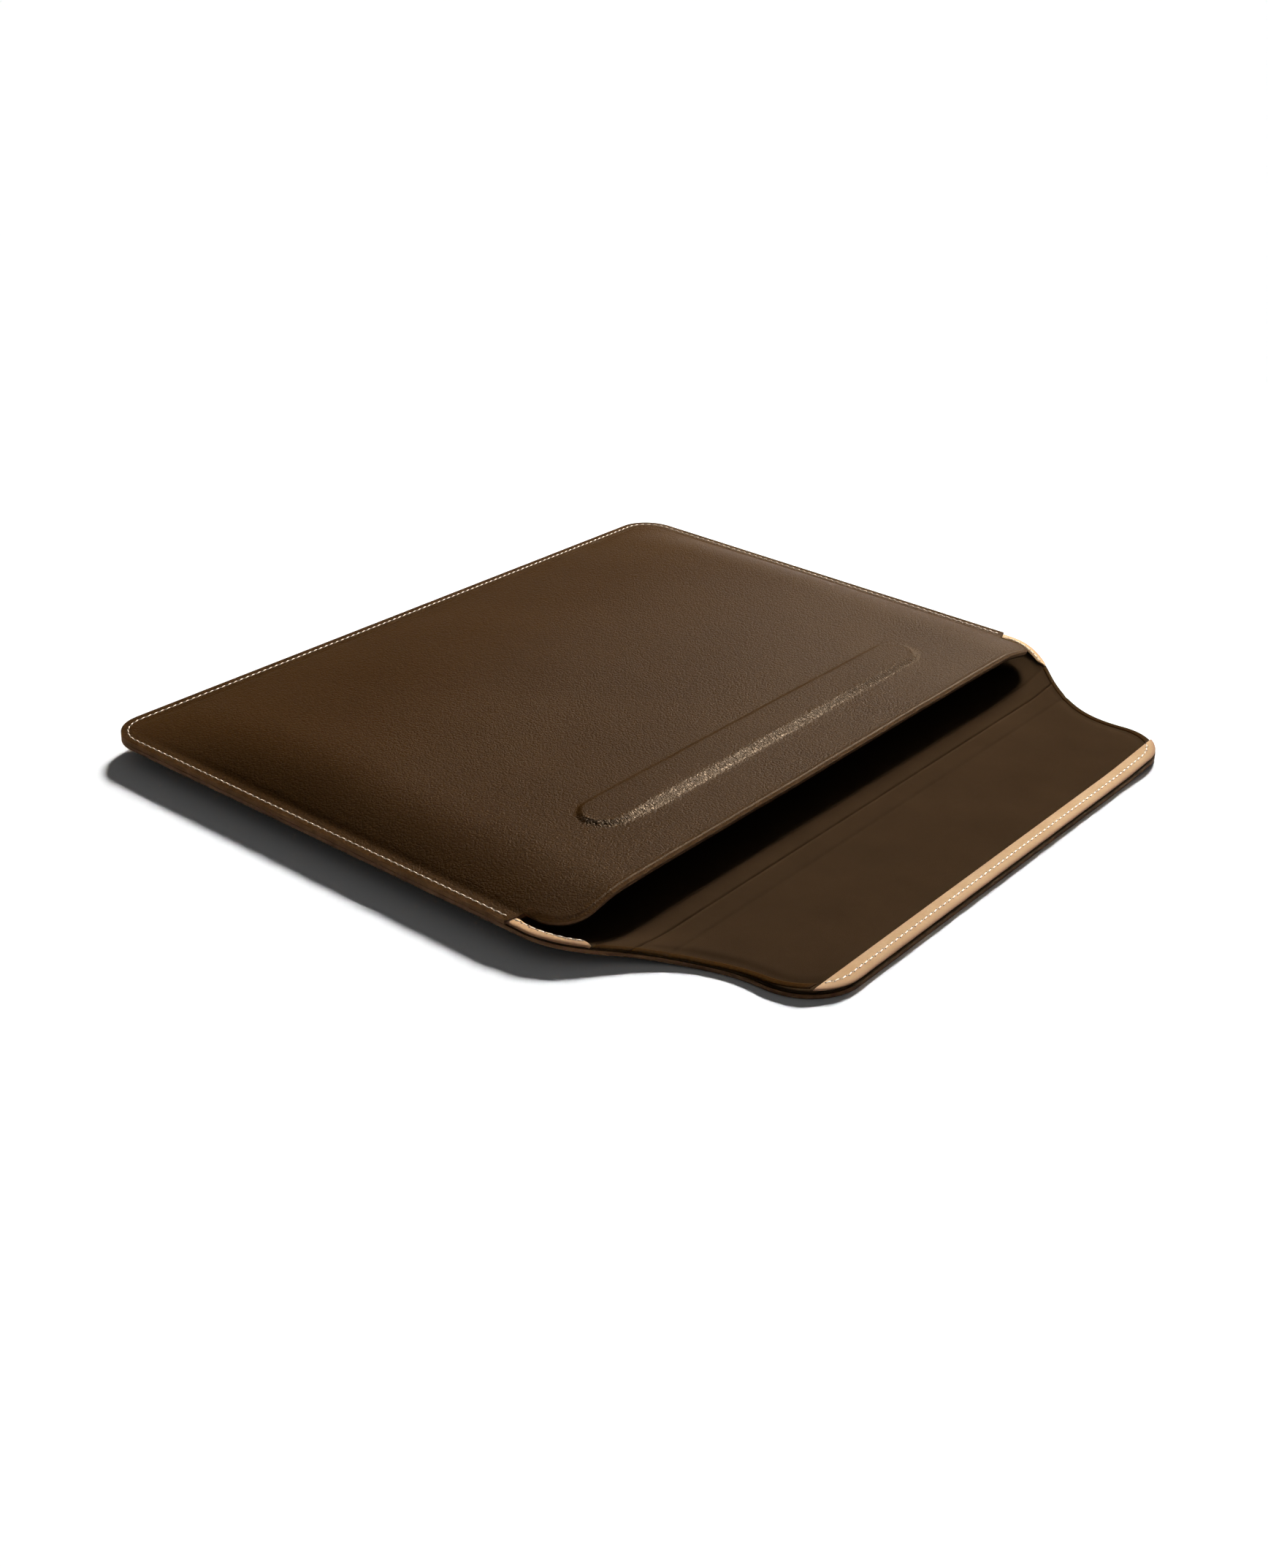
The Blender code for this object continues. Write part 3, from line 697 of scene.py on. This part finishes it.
def leather_material(name, grain=1.0, gloss=LEATHER_GLOSS):
    """Pebbled leather: small warped cells, wider creases, uneven dye and paler worn edges."""
    nodes = Nodes(name)
    pebbles = nodes.spread(nodes.cells(PEBBLES, nodes.warped(420, 1.1 * MM)), 0.0, 0.3)
    wrinkles = nodes.spread(nodes.cells(WRINKLES, nodes.warped(160, 3.2 * MM)), 0.0, 0.14)
    pores = nodes.noise(PORES, 2.0)
    patches = nodes.noise(DYE_PATCHES, 3.0)
    fine = nodes.plus(nodes.times(pebbles, 0.75), nodes.times(pores, 0.35))
    height = nodes.plus(fine, nodes.times(wrinkles, 0.45))

    tone = nodes.plus(nodes.times(patches, 0.7), nodes.times(pebbles, 0.3))
    colour = nodes.mix(nodes.spread(tone, 0.25, 0.75), srgb(*LEATHER_DARK), srgb(*LEATHER_LIGHT))
    wear = nodes.attribute("edge_wear")
    scuffed = nodes.times(wear, nodes.spread(nodes.noise(SCUFFS), 0.35, 0.7, 0.15, 0.75))
    colour = nodes.mix(scuffed, colour, srgb(*LEATHER_WORN))
    specks = nodes.spread(nodes.noise(DYE_SPECKS, 2.0), 0.3, 0.7, 0.86, 1.16)
    colour = nodes.shade(colour, specks)

    roughness = nodes.spread(nodes.plus(patches, nodes.times(fine, 0.3)), 0.3, 1.0, 0.42, 0.50)
    stretch = nodes.attribute("stretch")
    opened = nodes.plus(1.0, nodes.times(stretch, GRAIN_OPENING))
    nodes.bump(nodes.times(height, opened), 0.5 * grain, GRAIN_DEPTH)

    # The bar's stretched side shines more towards its near end, and worn edges shine less
    nodes.shader.inputs["Specular Tint"].default_value = LEATHER_SHINE
    place = nodes.add("ShaderNodeSeparateXYZ", {"Vector": nodes.uv}).outputs["X"]
    rubbed = nodes.times(nodes.spread(place, *RUBBED_X, RUBBED_GLOSS, 0.0),
                         nodes.spread(place, 0.6 * BAR_R - BAR_HALF_L, 1.5 * BAR_R - BAR_HALF_L))
    spots = nodes.spread(nodes.noise(RUBBED_SPOTS, 2.0), 0.35, 0.65, 0.35, 1.75)
    polished = nodes.plus(1.0, nodes.times(stretch, nodes.times(rubbed, spots)))
    polished = nodes.times(polished, nodes.spread(wear, 0.0, 0.6, 1.0, 0.3))
    return nodes.finish(colour, roughness, specular=nodes.times(polished, gloss))


def painted_edge_material():
    nodes = Nodes("painted_edge")
    blotches = nodes.noise(190, 4.0)
    dark, light = EDGE_PAINT
    colour = nodes.mix(nodes.spread(blotches, 0.3, 0.7), srgb(*dark), srgb(*light))
    nodes.bump(nodes.noise(900), 0.3, 0.1 * MM)
    return nodes.finish(colour, nodes.spread(blotches, 0.2, 0.8, 0.5, 0.65), specular=0.002)


def microfibre_material():
    """Short-napped brown cloth: brushed patches and a fine pile."""
    nodes = Nodes("microfibre")
    nap = nodes.noise(38, 4.0)
    pile = nodes.noise(3200, 2.0, 0.7)
    dark, light = CLOTH
    colour = nodes.mix(nodes.spread(nap, 0.25, 0.75), srgb(*dark), srgb(*light))
    colour = nodes.mix(nodes.spread(pile, 0.3, 0.8, 0.0, 0.35), colour, srgb(*CLOTH_PILE))
    nodes.bump(pile, 0.5, 0.12 * MM)
    return nodes.finish(colour, 0.95, specular=0.0)


def tan_material(name, dark, light):
    """Natural tan leather with fine fibres running along it."""
    nodes = Nodes(name)
    long_way = nodes.add("ShaderNodeMapping", {"Vector": nodes.uv, "Scale": (0.35, 1.0, 1.0)})
    fibres = nodes.noise(1500, 3.0, 0.6, long_way.outputs["Vector"])
    clouds = nodes.noise(70, 3.0)
    colour = nodes.mix(nodes.spread(clouds, 0.3, 0.7), srgb(*dark), srgb(*light))
    colour = nodes.mix(nodes.spread(fibres, 0.35, 0.75, 0.35, 0.0), colour, srgb(*TAN_FIBRE))
    worn = nodes.times(nodes.attribute("edge_wear"), 0.75)
    colour = nodes.mix(worn, colour, srgb(*TAN_WORN))
    nodes.bump(nodes.plus(fibres, nodes.cells(900, nodes.warped(420, 1.1 * MM))), 0.35, 0.1 * MM)
    return nodes.finish(colour, nodes.spread(fibres, 0.3, 0.8, 0.55, 0.75), specular=0.002)


def thread_material(name, pale, deep):
    """Twisted thread: fine slanting plies with a little fuzz."""
    nodes = Nodes(name)
    turned = nodes.add("ShaderNodeMapping", {"Vector": nodes.uv, "Rotation": (0, 0, 0.6)})
    plies = nodes.add("ShaderNodeTexWave", {"Vector": turned.outputs["Vector"], "Scale": 900.0,
                                            "Distortion": 1.5})
    fuzz = nodes.noise(4000, 2.0)
    twist = nodes.plus(nodes.times(plies.outputs["Fac"], 0.7), nodes.times(fuzz, 0.5))
    nodes.bump(twist, 0.5, 0.08 * MM)
    colour = nodes.mix(nodes.spread(twist, 0.2, 0.9), srgb(*deep), srgb(*pale))
    return nodes.finish(colour, 0.7, specular=0.3, sheen=0.15)


# Painted shade of the stitch holes
def hole_shade_material():
    nodes = Nodes("stitch_hole_shade")
    dark, light = HOLE_SHADE
    return nodes.finish(nodes.mix(nodes.noise(900), srgb(*dark), srgb(*light)), 0.9, specular=0.1)


def board_material():
    nodes = Nodes("grey_board")
    fibres = nodes.noise(700, 5.0, 0.7)
    dark, light = BOARD_GREY
    colour = nodes.mix(nodes.spread(fibres, 0.3, 0.7), srgb(*dark), srgb(*light))
    nodes.bump(fibres, 0.3, 0.08 * MM)
    return nodes.finish(colour, 0.9, specular=0.2)


def metal_material(name, colour, low, high):
    """Rolled or plated metal with fine lines along it."""
    nodes = Nodes(name)
    place = nodes.add("ShaderNodeTexCoord").outputs["Object"]
    drawn = nodes.add("ShaderNodeMapping", {"Vector": place, "Scale": (0.05, 1.0, 1.0)})
    lines = nodes.noise(2500, 3.0, 0.6, drawn.outputs["Vector"])
    nodes.bump(lines, 0.15, 0.03 * MM)
    shade = nodes.mix(nodes.spread(lines, 0.3, 0.7, 0.0, 0.35), colour, METAL_LINES)
    return nodes.finish(shade, nodes.spread(lines, 0.3, 0.7, low, high), metallic=1.0)


def make_looks():
    return {
        "leather": leather_material("brown_leather"),
        "smooth": leather_material("turned_edge_leather", grain=0.4, gloss=TURNED_EDGE_GLOSS),
        "edge": painted_edge_material(),
        "cloth": microfibre_material(),
        "tan": tan_material("tan_leather", *FACING_TAN),
        # a lighter copy of the tan for the side trims: painted light
        "trim": tan_material("trim_leather_painted_light", *TRIM_TAN_PAINTED_LIGHT),
        "thread": thread_material("cream_thread", *CREAM_THREAD),
        "pale_thread": thread_material("pale_thread", *PALE_THREAD),
        "hole": hole_shade_material(),
        "board": board_material(),
        "steel": metal_material("strip_steel", STEEL, 0.3, 0.5),
        "nickel": metal_material("nickel_plate", NICKEL, 0.18, 0.32),
    }


# ---- Panels ----

def bend_piece(piece):
    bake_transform(piece)


def bend_with_back(piece):
    bend_piece(piece)


def bend_with_flap(piece):
    bend_piece(piece)


def ride_sleeve(piece):
    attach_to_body(piece, "sleeve")


def ride_flap(piece):
    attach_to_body(piece, "flap")


def front_panel(looks):
    mesh = panel("front_leather", front_rows(), front_half, front_height, round_front,
                 fine_band=BAR_COLUMNS)
    ys = np.array([vertex.co.y for vertex in mesh.vertices])
    thin = 1 - (1 - LIP_THINNING) * fallen(ys, (LIP_START_Y, LIP_THINNING_RUN))
    piece = new_piece("front_leather", mesh, looks["leather"], looks["edge"], LEATHER_T,
                      FRONT_BEVEL, thin)
    ride_sleeve(piece)
    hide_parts("front_outer_leather")


def front_lining(looks):
    end_y = MOUTH_Y + LINING_LIP_INSET
    ys = np.concatenate([body_rows()[LINING_FIRST_ROW:], spaced(BAR_ROWS_Y, end_y, COARSE),
                         [end_y]])

    def half(y):
        return front_half(y) - np.where(y > SEAM_END_Y, LINING_SEAM_INSET, LINING_LIP_INSET)

    def height(x, y):
        return front_under(x, y) - (STACK_T - LINING_T)

    def round_inner(x, y):
        return round_lip(x, y, LIP_CORNER_R - LINING_LIP_INSET)

    mesh = lining_mesh("front_lining_cloth", ys, half, height, FRONT_LINING_COLUMNS, round_inner)
    piece = new_piece("front_lining_cloth", mesh, looks["cloth"], None, LINING_T)
    ride_sleeve(piece)
    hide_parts("front_lining")


def back_panel(looks):
    mesh = panel("back_leather", back_rows(), half_width, back_height, round_closed,
                 faces_down=True)
    piece = new_piece("back_leather", mesh, looks["leather"], looks["edge"], LEATHER_T,
                      PANEL_BEVEL)
    bend_with_back(piece)
    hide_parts("back_outer_leather")


def back_lining(looks):
    def half(y):
        loose = fallen(y, (SEAM_END_Y + LINING_STEP_RUN, LINING_STEP_RUN))
        return half_width(y) - LINING_SEAM_INSET + (LINING_SEAM_INSET - LINING_MARGIN) * loose

    ys = back_rows()[LINING_FIRST_ROW:]
    mesh = lining_mesh("back_lining_cloth", ys, half, lining_height, BACK_LINING_COLUMNS)
    piece = new_piece("back_lining_cloth", mesh, looks["cloth"], None, LINING_T)
    bend_with_back(piece)
    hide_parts("back_lining")


def flap_panel(looks):
    mesh = panel("flap_leather", flap_rows(FREE_EDGE_Y), half_width, back_height, round_flap,
                 faces_down=True)
    piece = new_piece("flap_leather", mesh, looks["leather"], looks["edge"], LEATHER_T,
                      PANEL_BEVEL)
    bend_with_flap(piece)
    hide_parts("spine_outer_leather", "flap_outer_leather")


def flap_lining(looks):
    def half(y):
        return half_width(y) - LINING_MARGIN

    def round_inner(x, y):
        return round_flap(x, y, FLAP_CORNER_R - LINING_MARGIN)

    mesh = panel("flap_lining_cloth", flap_rows(FREE_EDGE_Y + LINING_MARGIN), half,
                 lining_height, round_inner)
    piece = new_piece("flap_lining_cloth", mesh, looks["cloth"], None, LINING_T)
    bend_with_flap(piece)
    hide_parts("spine_lining", "flap_lining")


# ---- Trims ----

def rolled(inset, drop):
    """How far a trim's face drops towards its outer edge, as a quarter round."""
    t = np.clip(1 - inset / TRIM_ROLL, 0, 1)
    return drop * (1 - np.sqrt(np.maximum(1 - t**2, 0)))


def trim_insets():
    """Insets across a side trim: close together over its rolled edge."""
    near, far = TRIM_INSETS
    return np.concatenate([near + TRIM_ROLL * (np.linspace(0, 1, ROLL_COLUMNS) ** 1.6),
                           np.linspace(near + TRIM_ROLL, far, TRIM_COLUMNS)[1:]])


def side_trims(looks):
    ys = np.append(spaced(*TRIM_Y, TRIM_ROWS), TRIM_Y[1])
    insets = trim_insets()
    past = np.clip((TRIM_Y[1] + TRIM_END_R - ys) / TRIM_END_R, 0, 1)[:, None]
    narrow = 1 - TRIM_END_NARROWING * past**1.3
    across = (insets[None, :] - insets[0]) * narrow
    grid_y = np.repeat(ys[:, None], len(insets), axis=1)
    xs = half_width(grid_y) - insets[0] - across
    zs = lining_height(xs, grid_y) + FACING_T - rolled(across, SIDE_ROLL_DROP)
    worn = np.repeat(ridge(insets[None, :] - insets[0], TRIM_WORN_W), len(ys), axis=0)
    for side, label in ((-1, "left"), (1, "right")):
        mesh = grid_mesh(f"tan_trim_{label}", side * xs, grid_y, zs, side > 0, worn)
        piece = new_piece(f"tan_trim_{label}", mesh, looks["trim"], None, FACING_T, TRIM_BEVEL)
        bend_with_back(piece)
        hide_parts(f"side_trim_{label}")


def bindings(looks):
    """Narrow turned edges along the flap's sides, in two lengths that meet in the spine."""
    spans = (("spine_binding", TRIM_Y[1] - 0.3 * MM, SPINE_MIDDLE_Y, bend_with_back),
             ("flap_binding", SPINE_MIDDLE_Y, FACING_LINE_Y + 1 * MM, bend_with_flap))
    insets = np.linspace(*BINDING_INSETS, BINDING_COLUMNS)
    crown = np.sin(np.linspace(BINDING_SLOPE, math.pi - BINDING_SLOPE, BINDING_COLUMNS)) ** 0.5
    for name, first, last, attach in spans:
        ys = np.append(spaced(first, last, BINDING_ROWS), last)
        grid_y = np.repeat(ys[:, None], len(insets), axis=1)
        xs = inset_outline(grid_y, insets[None, :])
        zs = lining_height(xs, grid_y) + BINDING_RISE * crown[None, :]
        for side, label in ((-1, "left"), (1, "right")):
            mesh = grid_mesh(f"{name}_{label}", side * xs, grid_y, zs, side > 0)
            piece = new_piece(f"{name}_{label}", mesh, looks["smooth"], None, BINDING_RISE)
            attach(piece)


def inset_outline(y, inset):
    """X of the flap's side outline, moved inwards, with its round corner."""
    centre_y = FREE_EDGE_Y + FLAP_CORNER_R
    radius = FLAP_CORNER_R - inset
    past = np.clip((centre_y - y) / radius, 0, 1)
    arc = FLAP_HALF_W - FLAP_CORNER_R + radius * np.sqrt(1 - past**2)
    return np.where(y < centre_y, arc, half_width(y) - inset)


def facing_outline(x, inset):
    """Y of the flap's free edge, moved inwards."""
    radius = FLAP_CORNER_R - inset
    past = np.clip((np.abs(x) - (FLAP_HALF_W - FLAP_CORNER_R)) / radius, 0, 1)
    return FREE_EDGE_Y + FLAP_CORNER_R - radius * np.sqrt(1 - past**2)


def facing_tip_x(inset):
    radius = FLAP_CORNER_R - inset
    rise = FREE_EDGE_Y + FLAP_CORNER_R - FACING_LINE_Y
    return FLAP_HALF_W - FLAP_CORNER_R + math.sqrt(radius**2 - rise**2)


def facing_height(x, y):
    inset = inward(x, y, FLAP_HALF_W, FREE_EDGE_Y, FLAP_CORNER_R, -1)
    return (back_height(x, y) + STACK_T + FACING_T
            - rolled(inset - TRIM_INSETS[0], FACING_ROLL_DROP))


def both_sides(half_line):
    """A line from 0 outwards, with its mirror image in front."""
    return np.concatenate([-half_line[:0:-1], half_line])


def corner_columns(tip, count):
    """X from the flap's middle round its corner to a tip."""
    straight = FLAP_HALF_W - FLAP_CORNER_R
    bow = (tip - straight) * np.sin(np.linspace(0, math.pi / 2, count))
    return both_sides(np.concatenate([spaced(0, straight, FACING_STEP), straight + bow]))


def flap_facing(looks):
    columns = corner_columns(facing_tip_x(TRIM_INSETS[0]), CORNER_POINTS)
    share = np.concatenate([np.linspace(0, 0.7, 8)[:-1], 0.7 + 0.3 * np.linspace(0, 1, 9) ** 0.7])
    outer = facing_outline(columns, TRIM_INSETS[0])
    grid_y = FACING_LINE_Y + share[:, None] * (outer - FACING_LINE_Y)[None, :]
    xs = np.repeat(columns[None, :], len(share), axis=0)
    inset = inward(xs, grid_y, FLAP_HALF_W, FREE_EDGE_Y, FLAP_CORNER_R, -1)
    mesh = grid_mesh("tan_facing", xs, grid_y, facing_height(xs, grid_y),
                     worn=ridge(inset - TRIM_INSETS[0], FACING_WORN_W))
    piece = new_piece("tan_facing", mesh, looks["tan"], None, FACING_T, FACING_BEVEL)
    ride_flap(piece)
    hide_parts("flap_facing")


# ---- Stitching ----

def evenly(points, pitch):
    """Centres and directions of stitches spaced evenly along a line of points."""
    steps = np.linalg.norm(np.diff(points, axis=0), axis=1)
    along = np.concatenate([[0], np.cumsum(steps)])
    count = int(along[-1] / pitch)
    places = (np.arange(count) + 0.5) * along[-1] / count

    def at(place):
        return np.stack([np.interp(place, along, points[:, k]) for k in range(3)], axis=1)

    direction = at(places + STITCH_LOOK) - at(places - STITCH_LOOK)
    return at(places), direction / np.linalg.norm(direction, axis=1)[:, None]


def stitch_shape():
    """One stitch along X: a fat thread that dives into the leather at both ends."""
    t = np.linspace(-1, 1, STITCH_RINGS)
    angle = np.arange(STITCH_SIDES) * 2 * math.pi / STITCH_SIDES
    radius = THREAD_R * (1 - STITCH_TAPER * np.abs(t) ** 3)
    lift = THREAD_R * STITCH_BOW * (1 - t**2) - STITCH_SINK * np.abs(t) ** 4
    x = np.repeat(t * STITCH_LENGTH / 2, STITCH_SIDES)
    y = (radius[:, None] * np.cos(angle)[None, :]).ravel()
    z = (lift[:, None] + radius[:, None] * np.sin(angle)[None, :] * STITCH_FLATNESS).ravel()
    faces = []
    for ring in range(STITCH_RINGS - 1):
        for k in range(STITCH_SIDES):
            after = (k + 1) % STITCH_SIDES
            low, high = ring * STITCH_SIDES, (ring + 1) * STITCH_SIDES
            faces.append((low + k, low + after, high + after, high + k))
    faces.append(tuple(reversed(range(STITCH_SIDES))))
    last = (STITCH_RINGS - 1) * STITCH_SIDES
    faces.append(tuple(range(last, last + STITCH_SIDES)))
    return np.stack([x, y, z], axis=1), faces


def hole_shade_shape(end):
    """A small dark disc at a stitch's end: painted shade of the stitch hole."""
    angle = np.arange(STITCH_SIDES) * 2 * math.pi / STITCH_SIDES
    centre = end * STITCH_LENGTH * HOLE_PLACE
    points = np.stack([centre + HOLE_R * np.cos(angle), HOLE_R * HOLE_NARROWING * np.sin(angle),
                       np.full(STITCH_SIDES, HOLE_LIFT)], axis=1)
    return points, [tuple(range(STITCH_SIDES))]


def copies(name, shape, centres, directions, up):
    """One mesh with a copy of a shape at each centre, turned along its direction."""
    points, faces = shape
    across = np.cross(up, directions)
    across /= np.linalg.norm(across, axis=1)[:, None]
    normal = np.cross(directions, across)
    cos, sin = math.cos(STITCH_SLANT), math.sin(STITCH_SLANT)
    along = cos * directions + sin * across
    sideways = cos * across - sin * directions
    placed = (centres[:, None, :] + points[None, :, 0:1] * along[:, None, :]
              + points[None, :, 1:2] * sideways[:, None, :]
              + points[None, :, 2:3] * normal[:, None, :])
    count = len(points)
    all_faces = [tuple(index * count + corner for corner in face)
                 for index in range(len(centres)) for face in faces]
    mesh = bpy.data.meshes.new(name)
    mesh.from_pydata(placed.reshape(-1, 3).tolist(), [], all_faces)
    uv = mesh.uv_layers.new(name="UVMap")
    flat = np.tile(points[:, :2], (len(centres), 1)) + np.repeat(centres[:, :2], count, axis=0)
    loops = np.array([corner for face in all_faces for corner in face])
    uv.data.foreach_set("uv", flat[loops].astype(np.float32).ravel())
    mesh.shade_smooth()
    return mesh


def stitch_run(name, points, up, looks, thread, attach, nodes=()):
    """A row of stitches and its row of dark discs, painted shade of the stitch holes."""
    centres, directions = evenly(np.array(points), STITCH_PITCH)
    up = np.array(up, float)
    stitches = new_piece(name, copies(name, stitch_shape(), centres, directions, up),
                         looks[thread])
    attach(stitches)
    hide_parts(*nodes)
    for end, label in ((-1, "a"), (1, "b")):
        hole_name = f"{name}_holes_{label}"
        holes = new_piece(hole_name, copies(hole_name, hole_shade_shape(end), centres, directions, up),
                          looks["hole"])
        attach(holes)


def seam_line(inset):
    """X and Y round the three sewn sides, from the right end of the seam to the left end."""
    radius = CLOSED_CORNER_R - inset
    centre = (BODY_HALF_W - CLOSED_CORNER_R, CLOSED_Y - CLOSED_CORNER_R)
    angle = np.linspace(0, math.pi / 2, CORNER_POINTS)
    corner = np.stack([centre[0] + radius * np.cos(angle), centre[1] + radius * np.sin(angle)],
                      axis=1)
    right = np.concatenate([[(BODY_HALF_W - inset, SEAM_END_Y + 0.6 * MM)], corner])
    left = right[::-1] * np.array([-1, 1])
    return np.concatenate([right, left])


def seam_stitching(looks):
    line = seam_line(SEAM_STITCH_INSET)
    top = [(x, y, SEAM_TOP_Z - SEAM_STITCH_SINK) for x, y in line]
    stitch_run("seam_stitches_front", top, (0, 0, 1), looks, "thread", ride_sleeve,
               ["seam_thread_front"])
    low = [(x, y, SEAM_BOTTOM_Z) for x, y in line[::-1]]
    stitch_run("seam_stitches_back", low, (0, 0, -1), looks, "thread", ride_sleeve,
               ["seam_thread_back"])


def trim_stitching(looks):
    ys = np.linspace(TRIM_Y[0] - 0.8 * MM, TRIM_Y[1] + 3 * MM, 40)
    for side, label in ((-1, "left"), (1, "right")):
        xs = half_width(ys) - TRIM_STITCH_INSET
        zs = lining_height(xs, ys) + FACING_T
        points = np.stack([side * xs, ys, zs], axis=1)
        stitch_run(f"trim_stitches_{label}", points, (0, 0, 1), looks, "pale_thread",
                   bend_with_back, [f"side_trim_thread_{label}"])


def flap_stitching(looks):
    xs = corner_columns(facing_tip_x(FLAP_STITCH_INSET) - 0.5 * MM, 30)
    ys = facing_outline(xs, FLAP_STITCH_INSET)
    points = np.stack([xs, ys, facing_height(xs, ys)], axis=1)
    stitch_run("flap_stitches", points, (0, 0, 1), looks, "pale_thread", ride_flap,
               ["flap_thread"])


# ---- Carried-over CAD nodes ----

def dress_nodes(looks):
    """Hidden parts keep their CAD shape and get their own finish."""
    for name, node in frame["nodes"].items():
        if node.hide_render:
            continue
        if name.startswith("bar_magnet"):
            look = looks["nickel"]
        elif name == "flap_steel_strip":
            look = looks["steel"]
        else:
            look = looks["board"]
        for slot in node.material_slots:
            slot.material = look


# ---- Stage ----

def stage():
    mesh = bpy.data.meshes.new("floor")
    size = FLOOR_HALF_W
    corners = [(-size, -size), (size, -size), (size, size), (-size, size)]
    mesh.from_pydata([(x, y, -FLOOR_GAP) for x, y in corners], [], [(0, 1, 2, 3)])
    material = bpy.data.materials.new("pale_floor")
    material.use_nodes = True
    shader = material.node_tree.nodes["Principled BSDF"]
    shader.inputs["Base Color"].default_value = FLOOR_COLOUR
    shader.inputs["Roughness"].default_value = 0.9
    shader.inputs["Specular IOR Level"].default_value = 0.0
    mesh.materials.append(material)
    floor = bpy.data.objects.new("floor", mesh)
    bpy.context.scene.collection.objects.link(floor)


def new_lamp(name, data, heading, height):
    """A lamp that shines from a heading and a height, and the direction towards it."""
    heading, height = math.radians(heading), math.radians(height)
    towards = Vector((math.cos(height) * math.cos(heading), math.cos(height) * math.sin(heading),
                      math.sin(height)))
    lamp = bpy.data.objects.new(name, data)
    lamp.rotation_mode = "QUATERNION"
    lamp.rotation_quaternion = towards.to_track_quat("Z", "Y")
    bpy.context.scene.collection.objects.link(lamp)
    return lamp, towards


def sun(name, heading, height, strength, softness):
    data = bpy.data.lights.new(name, "SUN")
    data.energy = strength
    data.angle = math.radians(softness)
    return new_lamp(name, data, heading, height)[0]


def softbox():
    """A near disk of light that adds no reflection."""
    data = bpy.data.lights.new("softbox", "AREA")
    data.shape = "DISK"
    data.size = SOFTBOX_SIZE
    data.energy = SOFTBOX_POWER
    lamp, towards = new_lamp("softbox", data, SOFTBOX_HEADING, SOFTBOX_HEIGHT)
    lamp.location = Vector(SOFTBOX_AIM) + towards * SOFTBOX_DISTANCE
    lamp.visible_glossy = False


def lights():
    world = bpy.data.worlds.new("studio")
    world.use_nodes = True
    world.node_tree.nodes["Background"].inputs["Color"].default_value = (1, 1, 1, 1)
    world.node_tree.nodes["Background"].inputs["Strength"].default_value = FILL
    bpy.context.scene.world = world
    sun("key", **KEY)
    glint = sun("glint", **GLINT)
    glint.data.color = GLINT_COLOUR
    glint.visible_diffuse = False
    softbox()


def camera():
    data = bpy.data.cameras.new("camera")
    data.lens = CAMERA_LENS
    data.sensor_width = CAMERA_SENSOR
    data.clip_start = 0.01
    data.clip_end = 200
    item = bpy.data.objects.new("camera", data)
    forward = Vector((math.cos(CAMERA_DOWN) * math.cos(CAMERA_HEADING),
                      math.cos(CAMERA_DOWN) * math.sin(CAMERA_HEADING), -math.sin(CAMERA_DOWN)))
    level = Vector((math.sin(CAMERA_HEADING), -math.cos(CAMERA_HEADING), 0))
    upright = level.cross(forward)
    right = level * math.cos(CAMERA_ROLL) + upright * math.sin(CAMERA_ROLL)
    up = upright * math.cos(CAMERA_ROLL) - level * math.sin(CAMERA_ROLL)
    item.matrix_world = (Matrix.Translation(CAMERA_PLACE)
                         @ Matrix((right, up, -forward)).transposed().to_4x4())
    bpy.context.scene.collection.objects.link(item)
    bpy.context.scene.camera = item


def main():
    bpy.context.scene.view_settings.view_transform = "Standard"
    camera()
    lights()
    stage()
    looks = make_looks()
    front_panel(looks)
    front_lining(looks)
    back_panel(looks)
    back_lining(looks)
    flap_panel(looks)
    flap_lining(looks)
    side_trims(looks)
    bindings(looks)
    flap_facing(looks)
    seam_stitching(looks)
    trim_stitching(looks)
    flap_stitching(looks)
    dress_nodes(looks)


main()
